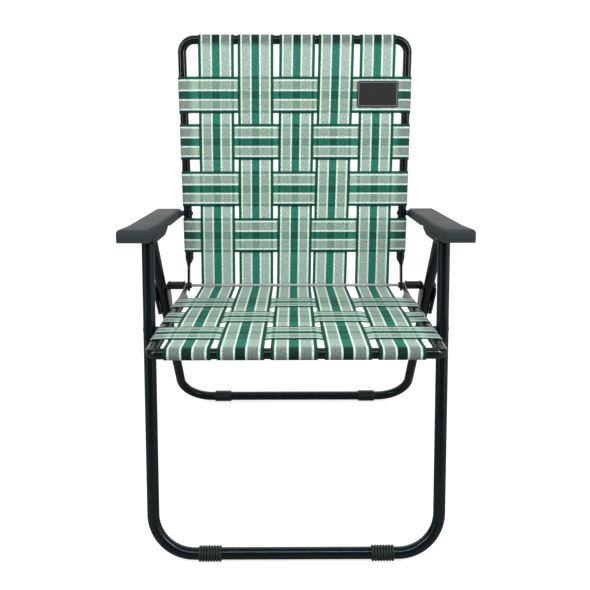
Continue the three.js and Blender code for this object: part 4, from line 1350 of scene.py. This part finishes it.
# %% [markdown]
# The weave
#
# Twelve straps are laced over the two frames. They are pulled tight, so no cloth simulation is needed:
# each one goes over one strap and under the next, and its height is a line of smooth steps. At a tube
# it turns down and wraps round by 0.72 of a turn. The five long straps are one piece each, from the top
# of the back, behind the rod, to the front of the seat.

# %% Lanes, heights and wraps
WEB_WIDTH = 0.07489
WEB_THICK = 0.0012
WEB_LIFT = WEB_THICK / 2 + GAP
OVER = 0.00085
EASE = 0.004
WRAP_TURN = 0.72 * 2 * math.pi
WRAP_STEPS = 40

BACK_ROWS = [0.11019, 0.21078, 0.31011, 0.40736]
SEAT_ROWS = [0.14698, 0.2585, 0.36579]
TOP_LANES = [-0.1652, -0.0823, 0.0052, 0.0872, 0.1743]
AXLE_LANES = [-0.1697, -0.0859, -0.0029, 0.0759, 0.1699]
FRONT_LANES = [-0.1743, -0.0893, -0.0043, 0.0821, 0.1680]


def lane_at(ends, plane, v):
    """Where a long strap lies across the chair at a reach along a plane."""
    return between(*ends, share_of(v, 0.0, plane.bar))


def weave_keys(start, end, crossings):
    """(reach, height) pairs of a strap that goes over or under others at (reach, over) crossings."""
    keys = [(start, 0.0)]
    half = WEB_WIDTH / 2 - EASE / 2
    for at, over in crossings:
        height = OVER if over else -OVER
        keys += [(at - half, height), (at + half, height)]
    return keys + [(end, 0.0)]


def weave_height(at, keys):
    """Height of a strap at a reach, from pairs joined by smooth steps."""
    for (a, low), (b, high) in zip(keys, keys[1:]):
        if at <= b:
            return between(low, high, eased(share_of(at, a, b)))
    return keys[-1][1]


def wrap_points(bar, radius):
    """Round a tube from its top: (reach, height, turned length), starting where the strap meets it."""
    lap = radius + WEB_LIFT
    points = []
    for i in range(1, WRAP_STEPS + 1):
        turned = WRAP_TURN * i / WRAP_STEPS
        angle = math.pi / 2 - turned
        points.append((bar + lap * math.cos(angle), lap * math.sin(angle) - TUBE_DEPTH, lap * turned))
    return points


def tube_and_shade_share(x, half, radius, start, spread, most=1.0):
    """How dark a point near the rail is made: the tube behind it, and painted shade from a little before the
    tube.
    """
    return most * eased(share_of(abs(x) - half, radius * start, radius * (start + spread)))


print("Rows on the back", len(BACK_ROWS), "and on the seat", len(SEAT_ROWS))

# %% [markdown]
# From a route to a strap
#
# A route is a line of points, each with its place across the chair, its distance along the weave and
# how much tube is behind it, with painted shade near the tubes. A flat grid of the route's own length is
# laid on it row by row, which keeps the weave's pattern unstretched. Its two UV maps are written from
# the same facts, and a Solidify modifier gives it its thickness.

# %% Strap helpers
STRAP_STEP = 0.0024
ACROSS = 12
STRAP_SMOOTH = math.radians(80)


def measured(route):
    """Puts each point's running length in front of it."""
    done = [(0.0, *route[0])]
    for before, after in zip(route, route[1:]):
        done.append((done[-1][0] + (after[0] - before[0]).length, *after))
    return done


def at_length(route, s):
    """The point, place across, distance along, and tube with painted shade at a running length."""
    low, high = 0, len(route) - 1
    while high - low > 1:
        middle = (low + high) // 2
        if route[middle][0] <= s:
            low = middle
        else:
            high = middle
    a, b = route[low], route[high]
    t = (s - a[0]) / max(b[0] - a[0], 1e-12)
    return [between(a[i], b[i], t) for i in range(1, len(a))]


def strap_mesh(route, across, crossings):
    """A flat grid, bent onto a route. across(point, x, u) places a point across the strap."""
    length = route[-1][0]
    rows = math.ceil(length / STRAP_STEP)
    bm = bmesh.new()
    bmesh.ops.create_grid(bm, x_segments=ACROSS, y_segments=rows, size=0.5)
    along_uv = bm.loops.layers.uv.new("along")
    behind_uv = bm.loops.layers.uv.new("behind")
    facts = {}
    for v in bm.verts:
        u, s = v.co.x + 0.5, (v.co.y + 0.5) * length
        point, x, along, tube = at_length(route, s)
        facts[v] = (u, s, along, tube)
        v.co = across(point, x, u)
    for f in bm.faces:
        middle = sum(facts[loop.vert][2] for loop in f.loops) / len(f.loops)
        near = min(crossings, key=lambda c: abs(c - middle))
        for loop in f.loops:
            u, s, along, tube = facts[loop.vert]
            loop[along_uv].uv = (u, s)
            loop[behind_uv].uv = ((along - near) / WEB_WIDTH + 0.5, tube)
    return bm, length


def finish_strap(name, bm, length, body, nodes):
    obj = make_piece(name, bm, "webbing", body, nodes, smooth=STRAP_SMOOTH)
    solid = obj.modifiers.new("thickness", "SOLIDIFY")
    solid.thickness = WEB_THICK
    solid.offset = 0.0
    print(name, "flat length", round(length, 4))
    return obj


print("A strap has", ACROSS, "cells across, each", STRAP_STEP, "m long")

# %% [markdown]
# The cross straps
#
# A cross strap runs from rail to rail and wraps round both. The rails are not quite parallel, so each
# of its edges keeps its own width. Near the rails the dark tube shows through the weave, and painted
# shade darkens the strap from a little inside each rail.

# %% Cross straps
CROSS_STEPS = 240
# Painted shade: the strap darkens near each rail, from 2.7 tube radii inside it, before the tube lies behind
# it, to three quarters.
TAIL_SHADE = (-2.7, 1.7, 0.75)


def cross_route(plane, half, crossings):
    """From wrap to wrap: (x and height, no turn aside, distance, tube and painted shade)."""
    keys = weave_keys(-half, half, crossings)
    right = [(x, h, half + turned) for x, h, turned in wrap_points(half, plane.radius)]
    left = [(-x, h, -along) for x, h, along in reversed(right)]
    middle = []
    for i in range(CROSS_STEPS + 1):
        x = -half + 2 * half * i / CROSS_STEPS
        middle.append((x, weave_height(x, keys), x))
    route = []
    for x, h, along in left + middle + right:
        tube = tube_and_shade_share(along, half, plane.radius, *TAIL_SHADE)
        route.append((Vector((x, h)), 0.0, along, tube))
    return measured(route)


def cross_strap(body, plane, number, reach, lanes, over_first):
    half = plane.half_at(reach)
    crossings = [(x, (i % 2 == 0) == over_first) for i, x in enumerate(lanes)]

    def across(point, x, u):
        v = reach + (u - 0.5) * WEB_WIDTH
        return plane.spot(point.x * plane.half_at(v) / half, v, point.y)

    bm, length = strap_mesh(cross_route(plane, half, crossings), across, lanes)
    node = f"{body}_cross_strap_{number}"
    finish_strap(f"{body}_cross_webbing_{number}", bm, length, body, [node])


for i, reach in enumerate(BACK_ROWS):
    lanes = [lane_at(ends, BACK, reach) for ends in zip(AXLE_LANES, TOP_LANES)]
    cross_strap("back", BACK, i + 1, reach, lanes, i % 2 == 1)
for i, reach in enumerate(SEAT_ROWS):
    lanes = [lane_at(ends, SEAT, reach) for ends in zip(AXLE_LANES, FRONT_LANES)]
    cross_strap("seat", SEAT, i + 1, reach, lanes, i % 2 == 0)
print("Cross straps", len(BACK_ROWS) + len(SEAT_ROWS))

# %% [markdown]
# The long straps
#
# A long strap starts in the wrap over the back's top tube, weaves down the back, turns behind the rod,
# weaves along the seat and ends in the wrap over the seat's front tube. It hangs on no body.

# %% Long straps
LONG_STEPS = 260
CORNER_STEPS = 14
CORNER_TUBE = 0.5
BLEND_REACH = 0.02
# Painted shade: the strap darkens near the back's top tube and round the seat's front tube, starting before
# the tube lies behind it.
BACK_SHADE = (-2.1, 1.7)
SEAT_SHADE = (-1.1, 1.8)


def half_route(plane, ends, rows, over_first, sign, shade):
    """From the rod to the end of the wrap: (side point, x, distance, tube and painted shade)."""
    crossings = [(v, (r % 2 == 0) == over_first) for r, v in enumerate(rows)]
    keys = weave_keys(0.0, plane.bar, crossings)
    points = []
    for i in range(LONG_STEPS + 1):
        v = plane.bar * i / LONG_STEPS
        tube = tube_and_shade_share(v, plane.bar, plane.radius, *shade)
        spot = plane.side_point(v, weave_height(v, keys))
        points.append((spot, lane_at(ends, plane, v), sign * v, tube))
    for v, h, turned in wrap_points(plane.bar, plane.radius):
        along = plane.bar + turned
        tube = tube_and_shade_share(along, plane.bar, plane.radius, *shade)
        points.append((plane.side_point(v, h), ends[1], sign * along, tube))
    return points


def corner_route(x):
    """Behind and under the rod, from the back plane to the seat plane."""
    start, end = -BACK.off, -SEAT.off
    first = math.atan2(start.y, start.x)
    last = math.atan2(end.y, end.x)
    points = []
    for i in range(1, CORNER_STEPS):
        angle = between(first, last, i / CORNER_STEPS)
        spot = AXLE + Vector((math.cos(angle), math.sin(angle))) * ROD_DROP
        points.append((spot, x, 0.0, CORNER_TUBE))
    return points


def across_lane(point, x, u):
    return place(x + (u - 0.5) * WEB_WIDTH, point.x, point.y)


blend_from = SEAT.spot(0, BLEND_REACH, 0)
blend_to = BACK.spot(0, BLEND_REACH, 0)
crossing_reaches = BACK_ROWS + [-v for v in SEAT_ROWS]
for i, (top, axle, front) in enumerate(zip(TOP_LANES, AXLE_LANES, FRONT_LANES)):
    back = half_route(BACK, (axle, top), BACK_ROWS, i % 2 == 0, 1, BACK_SHADE)
    seat = half_route(SEAT, (axle, front), SEAT_ROWS, i % 2 == 1, -1, SEAT_SHADE)
    route = measured(back[::-1] + corner_route(axle) + seat)
    bm, length = strap_mesh(route, across_lane, crossing_reaches)
    nodes = [f"back_strap_{i + 1}", f"seat_strap_{i + 1}"]
    strap = finish_strap(f"long_webbing_{i + 1}", bm, length, None, nodes)
    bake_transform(strap)
print("Long straps", len(TOP_LANES))

# %% [markdown]
# The patch
#
# A dark woven patch is sewn over the crossing at the back's upper right. It is a small grid with its
# corners rounded and its thickness pushed up, and two insets on its face mark the line of lighter
# thread.

# %% Patch
PATCH_X, PATCH_V = 0.1753, 0.4088
PATCH_WIDTH, PATCH_HEIGHT, PATCH_THICK = 0.087, 0.0543, 0.0016
PATCH_LIFT = OVER + WEB_THICK / 2 + GAP
PATCH_CORNER = 0.0042
PATCH_CORNER_STEPS = 6
BORDER_INSET, BORDER_WIDTH = 0.0024, 0.0012
PATCH_BLACK = (0.013, 0.013, 0.017)
THREAD_GREY = (0.24, 0.26, 0.26)
FINISHES["patch_cloth"] = grained("patch_cloth", PATCH_BLACK, (0.65, 0.75), 1100, 0.00012)
THREAD = grained("patch_thread", THREAD_GREY, (0.60, 0.70), 1100, 0.00005)

bm = bmesh.new()
bmesh.ops.create_grid(bm, x_segments=1, y_segments=1, size=0.5)
bmesh.ops.scale(bm, vec=(PATCH_WIDTH, PATCH_HEIGHT, 1), verts=bm.verts[:])
bmesh.ops.bevel(
    bm,
    geom=bm.verts[:],
    offset=PATCH_CORNER,
    segments=PATCH_CORNER_STEPS,
    profile=0.5,
    affect="VERTICES",
    material=-1,
)
grown = bmesh.ops.extrude_face_region(bm, geom=bm.faces[:])["geom"]
bmesh.ops.translate(bm, vec=(0, 0, PATCH_THICK), verts=points_of(grown))
top = next(g for g in grown if isinstance(g, bmesh.types.BMFace))
bmesh.ops.inset_region(bm, faces=[top], thickness=BORDER_INSET, use_even_offset=True)
border = bmesh.ops.inset_region(bm, faces=[top], thickness=BORDER_WIDTH, use_even_offset=True)["faces"]
for f in border:
    f.material_index = 1
for v in bm.verts:
    v.co = BACK.spot(PATCH_X + v.co.x, PATCH_V + v.co.y, PATCH_LIFT + v.co.z)
patch = make_piece("patch", bm, "patch_cloth", "back", ["label_patch"])
patch.data.materials.append(THREAD)
print("Patch faces in thread", len(border))
